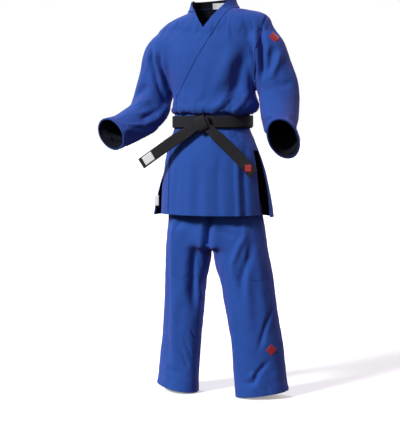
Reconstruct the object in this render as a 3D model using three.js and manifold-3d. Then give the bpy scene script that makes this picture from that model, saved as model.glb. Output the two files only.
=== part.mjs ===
// A judo uniform in its worn shape: jacket, knotted belt and trousers, each cut into its sewn panels.
// Millimetres, +Z up, +X to the wearer's left, -Y to the front. The origin is the middle of the
// trousers' waist, where the wearer carries them, at the height of the belt's middle.

import * as THREE from "three";
import { LoftGeometry } from "three/addons/geometries/LoftGeometry.js";
import { mergeVertices } from "three/addons/utils/BufferGeometryUtils.js";
import Module from "manifold-3d";

const wasm = await Module();
wasm.setup();

// ---------------------------------------------------------------- sizes

// Cloth and clearances.
const JACKET_CLOTH = 2.4; // woven cotton of the jacket
const TROUSER_CLOTH = 1.8; // drill of the trousers
const HEM_GAP = 1; // between a layer and its hem, folded in behind it
const SEAM_GAP = 0.4; // between two pieces that are sewn edge to edge or face to face
const BADGE_THICKNESS = 0.8; // embroidered badges and woven labels

// Waist, in half widths and half depths, as the belt draws the jacket in.
const WAIST_HALF_WIDTH = 139;
const WAIST_HALF_DEPTH = 99;
const WAIST_EASE = 7; // between the jacket and the trousers' waistband
const TIED_EASE = 0.6; // between them under the belt's lower edge, where the belt holds both

// Belt: one band wound round twice, knotted in front.
const BELT_WIDTH = 42;
const BELT_CLOTH = 2.8;
const BELT_EASE = 2.2; // the jacket widens this much within the belt's width
const BELT_WRAP_STEP = 3; // how far the outer turn sits above the inner one
const KNOT_WIDTH = 58;
const KNOT_HEIGHT = 56;
const KNOT_DEPTH = 24;
const RIGHT_END_LENGTH = 268; // free lengths of the belt's ends, from the middle of the knot
const LEFT_END_LENGTH = 254;
const LABEL_LENGTH = 44; // woven label on the right end
const LABEL_WIDTH = 33;
const LABEL_FROM_TIP = 12;
const EMBLEM_SIDE = 34; // badge on the left end

// Jacket.
const LAPEL_WIDTH = 42;
const LAPEL_THICKNESS = 4; // the folded band is thicker than the panels
const COLLAR_HEIGHT = 39; // how far the collar stands above the neck seam
const LINING_BOTTOM_Z = 318; // the shoulder lining reaches down to here
const CUFF_BAND = 30; // depth of the folded hem at a cuff
const SKIRT_LENGTH = 336; // belt's middle to the jacket's hem
const SKIRT_SEAM_DROP = 7.5; // the panels are divided this far under the belt's lower edge
const BLOUSE_RISE = 5.5; // and blouse out from this far above its upper edge
const SEAM_EASE = 2; // the jacket is this much wider at that seam than at the belt's middle
const VENT_TOP = 104; // belt's middle to the top of the side vents
const JACKET_HEM_BAND = 24;
const BACK_HEM_DROP = 8; // the back flap hangs this much lower than the front one
const NECK_LABEL_WIDTH = 46;
const NECK_LABEL_HEIGHT = 22;
const NECK_LABEL_RISE = 9; // neck seam to the label's lower edge
const SIDE_LABEL_WIDTH = 22;
const SIDE_LABEL_HEIGHT = 40;
const SHOULDER_BADGE_SIDE = 42;

// Trousers.
const WAISTBAND_TOP = 16;
const WAISTBAND_HEIGHT = 38;
const CROTCH_DROP = 452; // waist to the fork of the legs
const HIP_CREASE_DROP = 392; // waist to where the legs start to swing
const THIGH_TOP_DROP = 486; // end of the cloth that creases at the hip
const KNEE_TOP_DROP = 600;
const KNEE_BOTTOM_DROP = 706;
const HEM_DROP = 988; // waist to the middle of the trousers' hem
const TROUSER_HEM_BAND = 30;
const LEG_BADGE_SIDE = 40;
const LEG_BADGE_DROP = 821;

// Colours, roughness and metalness of each finish.
const BLUE = { color: 0x2a4fa0, roughness: 0.9, metalness: 0 };
const BLACK = { color: 0x242226, roughness: 0.8, metalness: 0 };
const WHITE = { color: 0xe9e7e4, roughness: 0.7, metalness: 0 };
const RED = { color: 0xb3202b, roughness: 0.7, metalness: 0 };

// ---------------------------------------------------------------- solids

const FACET_TOLERANCE = 0.12; // cuts leave slivers flatter than this, and they are merged
const FAR = 3000; // longer than the whole uniform, for cutting prisms

/** A closed three.js geometry as a manifold solid. */
function solidOf(geometry) {
  const bare = new THREE.BufferGeometry();
  bare.setAttribute("position", geometry.attributes.position);
  bare.setIndex(geometry.index);
  const merged = mergeVertices(bare, 1e-3);
  const corners = Array.from(merged.index.array);
  const kept = [];
  for (let i = 0; i < corners.length; i += 3) {
    const [a, b, c] = corners.slice(i, i + 3);
    if (a !== b && b !== c && c !== a) kept.push(a, b, c);
  }
  return new wasm.Manifold(
    new wasm.Mesh({
      numProp: 3,
      vertProperties: merged.attributes.position.array,
      triVerts: new Uint32Array(kept),
    }),
  );
}

/** A manifold solid as a three.js geometry. */
function geometryOf(solid) {
  const mesh = solid.getMesh();
  const geometry = new THREE.BufferGeometry();
  geometry.setAttribute("position", new THREE.BufferAttribute(mesh.vertProperties, 3));
  geometry.setIndex(new THREE.BufferAttribute(mesh.triVerts, 1));
  geometry.computeVertexNormals();
  return geometry;
}

/** The largest body of a solid, so that a cut leaves no crumbs. */
function mainBody(solid) {
  const bodies = solid.decompose();
  return bodies.reduce((most, body) => (body.volume() > most.volume() ? body : most));
}

/** A box between two corners, as a solid. */
function box(low, high) {
  const size = high.map((h, i) => h - low[i]);
  const geometry = new THREE.BoxGeometry(...size);
  geometry.translate(...low.map((l, i) => l + size[i] / 2));
  return solidOf(geometry);
}

/** A prism along Y over an outline of [x, z] points, between two depths. */
function prismAlongY(outline, front, back) {
  const shape = new THREE.Shape(outline.map(([x, z]) => new THREE.Vector2(x, z)));
  const geometry = new THREE.ExtrudeGeometry(shape, { depth: back - front, bevelEnabled: false });
  geometry.rotateX(Math.PI / 2); // the outline's second axis becomes Z and it runs towards -Y
  geometry.translate(0, back, 0);
  return solidOf(geometry);
}

// ---------------------------------------------------------------- tubes of cloth

const RING_SIDES = 24;
const LIMB_SIDES = 16;

/** A sewn tube: oval cross-sections through named stations, with smooth values between them. */
class Tube {
  /**
   * @param {object[]} stations each {at: [x, y, z], wide, deep} in half widths and half depths, with
   *   optional turn (degrees about Z), tilt (rise per unit of width) and pitch (rise per unit of depth)
   * @param {number} sides facets round the tube
   */
  constructor(stations, sides = RING_SIDES) {
    const curve = (points) => new THREE.CatmullRomCurve3(points, false, "catmullrom", 0.5);
    const last = stations.length - 1;
    const read = (pick) => {
      const line = curve(stations.map((s) => new THREE.Vector3(...pick(s))));
      return (t) => line.getPoint(Math.min(Math.max(t / last, 0), 1));
    };
    this.last = last;
    this.sides = sides;
    this.centre = read((s) => s.at);
    this.sizes = read((s) => [s.wide, s.deep, s.turn ?? 0]);
    this.slopes = read((s) => [s.tilt ?? 0, s.pitch ?? 0, 0]);
  }

  /** Centre, width axis, depth axis and running axis of the section at t. */
  frameAt(t) {
    const turn = THREE.MathUtils.degToRad(this.sizes(t).z);
    const slope = this.slopes(t);
    return {
      centre: this.centre(t),
      across: new THREE.Vector3(Math.cos(turn), Math.sin(turn), slope.x),
      deep: new THREE.Vector3(-Math.sin(turn), Math.cos(turn), slope.y),
      along: new THREE.Vector3(0, 0, 1),
    };
  }

  /** A point of the tube's skin, at an angle round the section at t. */
  skin(t, angle) {
    const { centre, across, deep } = this.frameAt(t);
    const size = this.sizes(t);
    return centre
      .addScaledVector(across, size.x * Math.cos(angle))
      .addScaledVector(deep, size.y * Math.sin(angle));
  }

  /** The direction square to the skin, pointing out of the tube. */
  outward(t, angle) {
    const step = 0.01;
    const before = Math.max(t - step, 0);
    const after = Math.min(t + step, this.last);
    const round = this.skin(t, angle + step).sub(this.skin(t, angle - step));
    const run = this.skin(after, angle).sub(this.skin(before, angle));
    return round.cross(run).normalize();
  }

  /** The closed section at t, offset square to the skin and shifted along the tube. */
  ring(t, grow = 0, shift = 0) {
    const { along } = this.frameAt(t);
    return Array.from({ length: this.sides }, (_, i) => {
      const angle = ((i + 0.5) / this.sides) * 2 * Math.PI;
      const point = this.skin(t, angle).addScaledVector(this.outward(t, angle), grow);
      return point.addScaledVector(along, shift);
    });
  }

  /** The station parameter at a height, for a tube that runs up. */
  atHeight(z) {
    let low = 0;
    let high = this.last;
    for (let i = 0; i < 40; i += 1) {
      const middle = (low + high) / 2;
      if (this.centre(middle).z < z) low = middle;
      else high = middle;
    }
    return (low + high) / 2;
  }

  /** The solid core between two parameters, grown outwards, with its ends moved out by reach. */
  core(from, to, grow, reach, rowsPerStation = 1) {
    const rows = Math.max(1, Math.round((to - from) * rowsPerStation));
    const rings = Array.from({ length: rows + 1 }, (_, i) => {
      const shift = i === 0 ? -reach : i === rows ? reach : 0;
      return this.ring(from + ((to - from) * i) / rows, grow, shift);
    });
    const geometry = new LoftGeometry(rings, { capStart: true, capEnd: true });
    const solid = solidOf(geometry);
    if (solid.volume() > 0) return solid;
    return solidOf(new LoftGeometry(rings.map((r) => r.toReversed()), { capStart: true, capEnd: true }));
  }

  /** A shell between two parameters, from the inner to the outer offset, open at both ends. */
  shell(from, to, inner, outer, rowsPerStation = 1) {
    const skin = this.core(from, to, outer, -SEAM_GAP / 2, rowsPerStation);
    return skin.subtract(this.core(from, to, inner, 2, rowsPerStation));
  }
}

/** A tube whose sections follow a bending centre line, such as a sleeve. */
class BentTube extends Tube {
  /**
   * @param {object[]} stations as for Tube
   * @param {number[]} firstWide direction of the width axis at the first station
   * @param {number[]} [facing] direction that the last section looks along, where it isn't cut square
   */
  constructor(stations, firstWide, facing) {
    super(stations, LIMB_SIDES);
    this.firstWide = new THREE.Vector3(...firstWide);
    this.facing = facing && new THREE.Vector3(...facing).normalize();
  }

  along(t) {
    const step = 0.02;
    const run = this.centre(t + step).sub(this.centre(t - step)).normalize();
    const share = THREE.MathUtils.smoothstep(t, this.last - 1, this.last);
    return this.facing ? run.lerp(this.facing, share).normalize() : run;
  }

  frameAt(t) {
    let across = this.firstWide.clone();
    const steps = Math.max(1, Math.ceil(t * 8));
    for (let i = 0; i <= steps; i += 1) {
      const along = this.along((t * i) / steps);
      across.addScaledVector(along, -across.dot(along)).normalize();
    }
    const along = this.along(t);
    return { centre: this.centre(t), across, deep: along.clone().cross(across), along };
  }
}

// ---------------------------------------------------------------- the shapes

const BELT_TOP = (BELT_WIDTH + BELT_WRAP_STEP) / 2;
const SKIRT_SEAM_Z = -BELT_TOP - SKIRT_SEAM_DROP;
const BLOUSE_Z = BELT_TOP + BLOUSE_RISE;
const skirtTop = {
  at: [0, 0, SKIRT_SEAM_Z],
  wide: WAIST_HALF_WIDTH + SEAM_EASE,
  deep: WAIST_HALF_DEPTH + SEAM_EASE,
};

// The jacket from just under the belt to the neck seam. It blouses over the belt, and the wearer's
// left shoulder is carried a little higher than the right one.
const TORSO = new Tube([
  { ...skirtTop },
  { at: [0, 0, 0], wide: WAIST_HALF_WIDTH, deep: WAIST_HALF_DEPTH },
  { at: [0, 0, BLOUSE_Z], wide: WAIST_HALF_WIDTH + BELT_EASE + 1, deep: WAIST_HALF_DEPTH + BELT_EASE + 1 },
  { at: [9, 0, 54], wide: 160, deep: 118 },
  { at: [12, 0, 78], wide: 160, deep: 119 },
  { at: [4, 0, 112], wide: 156, deep: 119 },
  { at: [1, 2, 185], wide: 176, deep: 118 },
  { at: [0, 5, 255], wide: 198, deep: 109, tilt: 0.02 },
  { at: [0, 8, 303], wide: 214, deep: 97, tilt: 0.05 },
  { at: [0, 12, 342], wide: 222, deep: 84, tilt: 0.07 },
  { at: [0, 16, 370], wide: 200, deep: 74, tilt: 0.08 },
  { at: [-2, 20, 393], wide: 136, deep: 67, tilt: 0.07, pitch: 0.04 },
  { at: [-4, 22, 406], wide: 91, deep: 65, tilt: 0.06, pitch: 0.1 },
]);
const NECK_SEAM = TORSO.last;
const SIDE_SEAM_Y = 6;

// The collar band above the neck seam.
const COLLAR = new Tube(
  [
    { at: [-4, 22, 407], wide: 91, deep: 65, tilt: 0.06, pitch: 0.1 },
    { at: [-5, 24, 407 + COLLAR_HEIGHT], wide: 79, deep: 58, tilt: 0.08, pitch: 0.04 },
  ],
  RING_SIDES,
);

// The hips of the trousers, up to the waistband.
const TIED_HALF_WIDTH = WAIST_HALF_WIDTH + SEAM_EASE - JACKET_CLOTH - TIED_EASE;
const TIED_HALF_DEPTH = WAIST_HALF_DEPTH + SEAM_EASE - JACKET_CLOTH - TIED_EASE;
const HIPS = new Tube([
  { at: [13, 2, -CROTCH_DROP], wide: 201, deep: 100 },
  { at: [12, 2, -HIP_CREASE_DROP], wide: 195, deep: 101 },
  { at: [8, 2, -300], wide: 183, deep: 101 },
  { at: [3, 1, -200], wide: 165, deep: 100 },
  { at: [0, 0, -104], wide: 147, deep: 97 },
  { at: [0, 0, SKIRT_SEAM_Z], wide: TIED_HALF_WIDTH, deep: TIED_HALF_DEPTH },
  { at: [0, 0, WAISTBAND_TOP], wide: WAIST_HALF_WIDTH - WAIST_EASE, deep: WAIST_HALF_DEPTH - WAIST_EASE },
]);

/** A section that stands clear of the hips at a height, shifted and grown by the amounts given. */
function roundHips(z, shift, wider, deeper) {
  const t = HIPS.atHeight(z);
  const { x, y } = HIPS.sizes(t);
  return { at: [HIPS.centre(t).x + shift[0], shift[1], z], wide: x + wider, deep: y + deeper };
}

// The two flaps of the skirt share the section under the belt and flare apart below it.
const SKIRT_FRONT = new Tube([
  roundHips(-SKIRT_LENGTH, [-7, -6], 6, 23),
  { at: [3, -5, -258], wide: 189, deep: 122 },
  { at: [3, -4, -180], wide: 182, deep: 119 },
  { at: [3, -2, -VENT_TOP], wide: 169, deep: 113 },
  { ...skirtTop },
]);
const SKIRT_BACK = new Tube([
  roundHips(-SKIRT_LENGTH - BACK_HEM_DROP, [-16, 20], 43, 35),
  { at: [-2, 15, -258], wide: 215, deep: 132 },
  { at: [2, 8, -180], wide: 195, deep: 124 },
  { at: [3, 0, -VENT_TOP], wide: 171, deep: 114 },
  { ...skirtTop },
]);

// The legs, toes turned out, from the hem up to inside the hips.
const LEGS = {
  left: new Tube(
    [
      { at: [190, 16, -HEM_DROP], wide: 100, deep: 64, turn: 20, tilt: 0.13 },
      { at: [183, 14, -930], wide: 99, deep: 64, turn: 20, tilt: 0.06 },
      { at: [171, 10, -800], wide: 98, deep: 66, turn: 19 },
      { at: [156, 6, -700], wide: 96, deep: 70, turn: 17 },
      { at: [142, 3, -KNEE_TOP_DROP], wide: 99, deep: 77, turn: 14 },
      { at: [127, 2, -530], wide: 104, deep: 84, turn: 10 },
      { at: [111, 2, -CROTCH_DROP], wide: 103, deep: 92, turn: 4 },
      { at: [98, 2, -380], wide: 94, deep: 95 },
    ],
    LIMB_SIDES,
  ),
  right: new Tube(
    [
      { at: [-143, 14, -HEM_DROP], wide: 94, deep: 60, turn: -22, tilt: -0.12 },
      { at: [-138, 13, -930], wide: 90, deep: 59, turn: -22, tilt: -0.06 },
      { at: [-127, 10, -800], wide: 86, deep: 60, turn: -21 },
      { at: [-118, 6, -700], wide: 84, deep: 63, turn: -18 },
      { at: [-111, 3, -KNEE_TOP_DROP], wide: 84, deep: 70, turn: -14 },
      { at: [-104, 2, -530], wide: 86, deep: 79, turn: -8 },
      { at: [-97, 2, -CROTCH_DROP], wide: 90, deep: 90, turn: -3 },
      { at: [-92, 2, -380], wide: 88, deep: 94 },
    ],
    LIMB_SIDES,
  ),
};

// The sleeves, from inside the shoulder to the cuff. The forearms reach forwards.
const SLEEVES = {
  left: new BentTube(
    [
      { at: [120, 8, 280], wide: 98, deep: 68 },
      { at: [184, 9, 252], wide: 100, deep: 72 },
      { at: [228, 12, 190], wide: 79, deep: 63 },
      { at: [256, 8, 120], wide: 75, deep: 60 },
      { at: [266, -20, 58], wide: 70, deep: 62 },
      { at: [284, -72, -6], wide: 63, deep: 70 },
      { at: [307, -122, -60], wide: 55, deep: 82 },
    ],
    [0, 0, 1],
    [0.26, -0.86, -0.44],
  ),
  right: new BentTube(
    [
      { at: [-120, 8, 268], wide: 98, deep: 68 },
      { at: [-184, 9, 236], wide: 100, deep: 71 },
      { at: [-223, 12, 172], wide: 77, deep: 62 },
      { at: [-245, 8, 102], wide: 74, deep: 60 },
      { at: [-254, -20, 38], wide: 77, deep: 60 },
      { at: [-292, -88, -4], wide: 69, deep: 57 },
      { at: [-340, -150, -46], wide: 72, deep: 56 },
    ],
    [0, 0, 1],
    [-0.41, -0.89, -0.18],
  ),
};
const SLEEVE_HEAD_END = 2; // stations along the sleeve where the cloth stops creasing at the shoulder
const ELBOW_START = 3;
const ELBOW_END = 4.5;
const LEG_BADGE_ANGLE = -1.08; // round the leg from its outer side, towards the front
const SHOULDER_BADGE_STATION = 1.1; // along the left sleeve, in stations
const SHOULDER_BADGE_ANGLE = 0.57; // round the sleeve from its top, towards the front
const LOWER_LAPEL_SEAM_X = 135; // below the belt, the left lapel's seam is this far to the right
const UNDER_FLAP_EDGE_X = 75; // and the right front reaches this far to the left beneath it
const FRONT_FLAP_SIDE_Y = -34; // how far round the two flaps of the skirt reach
const BACK_FLAP_SIDE_Y = 2;

/** Inner and outer offsets of a hem that is folded in behind a layer of cloth. */
function foldedBehind(cloth) {
  return [-2 * cloth - HEM_GAP, -cloth - HEM_GAP];
}

// Lapel edges on the chest as [x, z], from the belt up: they cross at the bottom of the V.
const V_BOTTOM = [-11, 337];
const LAPEL_LEAN = 0.56; // sideways run of a lapel for each unit it rises
const NECK_LEAN = 0.72;
const LAPEL_TURN_Z = 95; // below this the lapel runs straight down beside the side seam
const COLLAR_TOP = 480;
const COLLAR_BACK_Y = 22; // the collar's openings are cut from the front as far as here

/** X of a lapel's free edge at a height; side is 1 for the left lapel and -1 for the right one. */
function freeEdge(z, side) {
  const [x, top] = V_BOTTOM;
  const lean = z > top ? NECK_LEAN : LAPEL_LEAN;
  return x + side * lean * (Math.max(z, LAPEL_TURN_Z) - top);
}

/** The strip between two lines that run with a lapel, as a prism through the front of the jacket. */
function lapelStrip(side, fromEdge, toEdge) {
  const heights = [-80, LAPEL_TURN_Z, V_BOTTOM[1], COLLAR_TOP];
  const line = (offset) => heights.map((z) => [freeEdge(z, side) + side * offset, z]);
  return prismAlongY([...line(fromEdge), ...line(toEdge).toReversed()], -FAR, COLLAR_BACK_Y);
}

const lapelRun = LAPEL_WIDTH / Math.cos(Math.atan(LAPEL_LEAN)); // a band's width along X

// ---------------------------------------------------------------- building nodes

const uniform = new THREE.Group();

/** Adds a named node made of a solid. */
function add(name, shape, finish) {
  const geometry = geometryOf(mainBody(shape.simplify(FACET_TOLERANCE)));
  const mesh = new THREE.Mesh(geometry, new THREE.MeshStandardMaterial(finish));
  mesh.name = name;
  uniform.add(mesh);
  return mesh;
}

const frontHalf = box([-FAR, -FAR, -FAR], [FAR, SIDE_SEAM_Y - SEAM_GAP / 2, FAR]);
const backHalf = box([-FAR, SIDE_SEAM_Y + SEAM_GAP / 2, -FAR], [FAR, FAR, FAR]);
const sleeveHoles = ["left", "right"].map((side) =>
  SLEEVES[side].core(0, SLEEVE_HEAD_END + 1, SEAM_GAP, 0),
);

const aboveSkirt = box([-FAR, -FAR, SKIRT_SEAM_Z + SEAM_GAP / 2], [FAR, FAR, FAR]);

/** A layer of the jacket's upper part with both armholes and the neck cut out. */
function torsoLayer(inner, outer) {
  const layer = TORSO.shell(0, NECK_SEAM, inner, outer).intersect(aboveSkirt);
  const holes = [...sleeveHoles, COLLAR.core(0, 1, SEAM_GAP, 0)];
  return holes.reduce((left, hole) => left.subtract(hole), layer);
}

/** Panels, lapels, collar and lining of the jacket above the belt. */
function buildJacketTop() {
  const under = torsoLayer(-JACKET_CLOTH, 0);
  const over = torsoLayer(SEAM_GAP, SEAM_GAP + JACKET_CLOTH);
  const band = torsoLayer(SEAM_GAP, SEAM_GAP + LAPEL_THICKNESS);
  add("jacket_back", under.intersect(backHalf), BLUE);

  const rightPanel = lapelStrip(-1, lapelRun + SEAM_GAP, FAR);
  add("jacket_front_right", under.intersect(frontHalf).intersect(rightPanel), BLUE);
  const rightBand = lapelStrip(-1, 0, lapelRun);
  add("lapel_right", under.intersect(frontHalf).intersect(rightBand), BLUE);

  const leftPanel = lapelStrip(1, lapelRun + SEAM_GAP, FAR);
  add("jacket_front_left", over.intersect(frontHalf).intersect(leftPanel), BLUE);
  const leftBand = lapelStrip(1, 0, lapelRun);
  add("lapel_left", band.intersect(frontHalf).intersect(leftBand), BLUE);

  const openNeck = prismAlongY(
    [
      V_BOTTOM,
      [freeEdge(COLLAR_TOP, 1), COLLAR_TOP],
      [freeEdge(COLLAR_TOP, -1), COLLAR_TOP],
    ],
    -FAR,
    COLLAR_BACK_Y,
  );
  const collar = COLLAR.shell(0, 1, -LAPEL_THICKNESS, 0);
  add("collar_band", collar.subtract(openNeck), BLUE);
  const labelFace = -LAPEL_THICKNESS - SEAM_GAP;
  const labelLayer = COLLAR.shell(0, 1, labelFace - BADGE_THICKNESS, labelFace);
  const seamMiddle = COLLAR.centre(0);
  const labelLow = seamMiddle.z + NECK_LABEL_RISE;
  const labelSpot = box(
    [seamMiddle.x - NECK_LABEL_WIDTH / 2, seamMiddle.y, labelLow],
    [seamMiddle.x + NECK_LABEL_WIDTH / 2, FAR, labelLow + NECK_LABEL_HEIGHT],
  );
  add("neck_label", labelLayer.intersect(labelSpot), WHITE);

  const lining = torsoLayer(-2 * JACKET_CLOTH - SEAM_GAP, -JACKET_CLOTH - SEAM_GAP);
  const yoke = box([-FAR, -FAR, LINING_BOTTOM_Z], [FAR, FAR, FAR]);
  const insideOf = (side) => lapelStrip(side, -FAR, lapelRun + SEAM_GAP);
  const neckGap = insideOf(1).intersect(insideOf(-1));
  add("shoulder_lining", lining.intersect(yoke).subtract(neckGap), BLUE);
}

/** Sleeve cloth and cuff band of one arm, cut into the lengths that move. */
function buildSleeve(side) {
  const sleeve = SLEEVES[side];
  const cloth = (from, to) => sleeve.shell(from, to, -JACKET_CLOTH, 0);
  const underLayer = TORSO.core(0, NECK_SEAM, SEAM_GAP, 0);
  const overLayer = TORSO.core(0, NECK_SEAM, 2 * SEAM_GAP + JACKET_CLOTH, 0).intersect(frontHalf);
  const chest = side === "left" ? underLayer.add(overLayer) : underLayer;
  add(`sleeve_head_${side}`, cloth(0, SLEEVE_HEAD_END).subtract(chest), BLUE);
  add(`sleeve_upper_${side}`, cloth(SLEEVE_HEAD_END, ELBOW_START), BLUE);
  add(`sleeve_elbow_${side}`, cloth(ELBOW_START, ELBOW_END), BLUE);
  add(`sleeve_lower_${side}`, cloth(ELBOW_END, sleeve.last), BLUE);
  const fold = sleeve.shell(ELBOW_END, sleeve.last, ...foldedBehind(JACKET_CLOTH));
  const mouth = sleeve.frameAt(sleeve.last);
  const foldEdge = mouth.centre.clone().addScaledVector(mouth.along, -CUFF_BAND);
  add(`cuff_fold_${side}`, fold.trimByPlane(mouth.along.toArray(), foldEdge.dot(mouth.along)), BLUE);
}

/** The skirt below the belt: a closed waist down to the vents, then a front and a back flap. */
function buildSkirt() {
  const trim = SEAM_GAP / 2;
  const slab = (low, high) => box([-FAR, -FAR, low + trim], [FAR, FAR, high - trim]);
  const waist = slab(-VENT_TOP, SKIRT_SEAM_Z);
  const flaps = slab(-FAR, -VENT_TOP);
  const hem = slab(-FAR, -SKIRT_LENGTH + JACKET_HEM_BAND);
  const front = (inner, outer) => SKIRT_FRONT.shell(0, SKIRT_FRONT.last, inner, outer);
  const back = (inner, outer) => SKIRT_BACK.shell(0, SKIRT_BACK.last, inner, outer);
  const outer = SEAM_GAP + JACKET_CLOTH;
  const backCloth = back(-JACKET_CLOTH, 0);
  add("skirt_waist_front", front(-JACKET_CLOTH, outer).intersect(frontHalf).intersect(waist), BLUE);
  add("skirt_waist_back", backCloth.intersect(backHalf).intersect(waist), BLUE);

  // The left lapel comes down at the wearer's right side, and the right flap lies under the left one.
  const seam = -LOWER_LAPEL_SEAM_X;
  const edge = seam - LAPEL_WIDTH;
  const underEdge = UNDER_FLAP_EDGE_X;
  const between = (low, high) => box([low, -FAR, -FAR], [high, FRONT_FLAP_SIDE_Y, FAR]);
  const leftFlap = front(SEAM_GAP, outer).intersect(flaps);
  const leftBand = front(SEAM_GAP, SEAM_GAP + LAPEL_THICKNESS).intersect(flaps);
  const rightFlap = front(-JACKET_CLOTH, 0).intersect(flaps);
  const frontFold = front(...foldedBehind(JACKET_CLOTH)).intersect(hem);
  add("skirt_front_left", leftFlap.intersect(between(seam + SEAM_GAP, FAR)), BLUE);
  add("lapel_left_lower", leftBand.intersect(between(edge, seam)), BLUE);
  add("skirt_front_right", rightFlap.intersect(between(-FAR, underEdge)), BLUE);
  add("skirt_front_hem_fold", frontFold.intersect(between(edge, underEdge)), BLUE);

  const behind = box([-FAR, BACK_FLAP_SIDE_Y, -FAR], [FAR, FAR, FAR]);
  add("skirt_back", backCloth.intersect(behind).intersect(flaps), BLUE);
  add("skirt_back_hem_fold", back(...foldedBehind(JACKET_CLOTH)).intersect(behind).intersect(hem), BLUE);

  const labelTop = -SKIRT_LENGTH + JACKET_HEM_BAND + SIDE_LABEL_HEIGHT;
  const labelSpot = box(
    [-FAR, BACK_FLAP_SIDE_Y, labelTop - SIDE_LABEL_HEIGHT],
    [0, BACK_FLAP_SIDE_Y + SIDE_LABEL_WIDTH, labelTop],
  );
  add("side_label", back(SEAM_GAP, SEAM_GAP + BADGE_THICKNESS).intersect(labelSpot), WHITE);
}

/** A flat strip of belt webbing from a root towards a tip, facing the front. */
function strap(root, tip, width, thickness, from, to) {
  const along = new THREE.Vector3().subVectors(tip, root).normalize();
  const facing = new THREE.Vector3(0, -1, 0).addScaledVector(along, along.y).normalize();
  const across = facing.clone().cross(along);
  const geometry = new THREE.BoxGeometry(to - from, width, thickness);
  geometry.translate((from + to) / 2, 0, 0);
  const frame = new THREE.Matrix4().makeBasis(along, across, facing).setPosition(root);
  geometry.applyMatrix4(frame);
  return { solid: solidOf(geometry), facing };
}

/** Both turns of the belt, the knot, and the two ends with their label and badge. */
function buildBelt() {
  const clear = BELT_EASE + 2 * SEAM_GAP + LAPEL_THICKNESS;
  const turn = (z, offset) => {
    const size = { wide: WAIST_HALF_WIDTH + clear + offset, deep: WAIST_HALF_DEPTH + clear + offset };
    const half = BELT_WIDTH / 2;
    return new Tube([{ at: [0, 0, z - half], ...size }, { at: [0, 0, z + half], ...size }]);
  };
  const innerTurn = turn(-BELT_WRAP_STEP / 2, 0);
  const outerTurn = turn(BELT_WRAP_STEP / 2, BELT_CLOTH + SEAM_GAP);
  add("belt_turn_inner", innerTurn.shell(0, 1, 0, BELT_CLOTH), BLACK);
  add("belt_turn_outer", outerTurn.shell(0, 1, 0, BELT_CLOTH), BLACK);

  const facetShare = Math.cos(Math.PI / RING_SIDES); // the front of the turn is the middle of a facet
  const beltFront = -(WAIST_HALF_DEPTH + clear + 2 * BELT_CLOTH + SEAM_GAP) * facetShare;
  const knotBack = beltFront - SEAM_GAP;
  const knotMiddle = new THREE.Vector3(4, knotBack - KNOT_DEPTH / 2, -6);
  const chamfer = 10;
  const [w, h] = [KNOT_WIDTH / 2, KNOT_HEIGHT / 2];
  const outline = [
    [-w, h - chamfer],
    [-w, -h + chamfer],
    [-w + chamfer, -h],
    [w - chamfer, -h],
    [w, -h + chamfer],
    [w, h - chamfer],
    [w - chamfer, h],
    [-w + chamfer, h],
  ].map(([x, z]) => [x + knotMiddle.x, z + knotMiddle.z]);
  const knot = prismAlongY(outline, knotBack - KNOT_DEPTH, knotBack);
  add("belt_knot", knot, BLACK);

  // Both ends start beside the knot, so that they can swing forwards past it.
  const grown = KNOT_WIDTH / 2 + SEAM_GAP;
  const around = box([knotMiddle.x - grown, -FAR, -FAR], [knotMiddle.x + grown, 0, FAR]);
  const ends = {
    right: { from: [-8, -2, -2], run: [-0.843, 0, -0.538], length: RIGHT_END_LENGTH },
    left: { from: [8, -2, 0], run: [0.7, 0.12, -0.704], length: LEFT_END_LENGTH },
  };
  for (const [side, { from, run, length }] of Object.entries(ends)) {
    const root = knotMiddle.clone().add(new THREE.Vector3(...from));
    const tip = root.clone().addScaledVector(new THREE.Vector3(...run).normalize(), length);
    const tail = strap(root, tip, BELT_WIDTH, BELT_CLOTH, 0, length);
    add(`belt_tail_${side}`, tail.solid.subtract(around), BLACK);
    const lift = BELT_CLOTH / 2 + SEAM_GAP + BADGE_THICKNESS / 2;
    const raised = [root, tip].map((p) => p.clone().addScaledVector(tail.facing, lift));
    const isLabel = side === "right";
    const [patchLength, patchWidth] = isLabel ? [LABEL_LENGTH, LABEL_WIDTH] : [EMBLEM_SIDE, EMBLEM_SIDE];
    const end = length - LABEL_FROM_TIP;
    const patch = strap(...raised, patchWidth, BADGE_THICKNESS, end - patchLength, end);
    add(isLabel ? "belt_label" : "belt_badge", patch.solid, isLabel ? WHITE : RED);
  }
}

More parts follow.
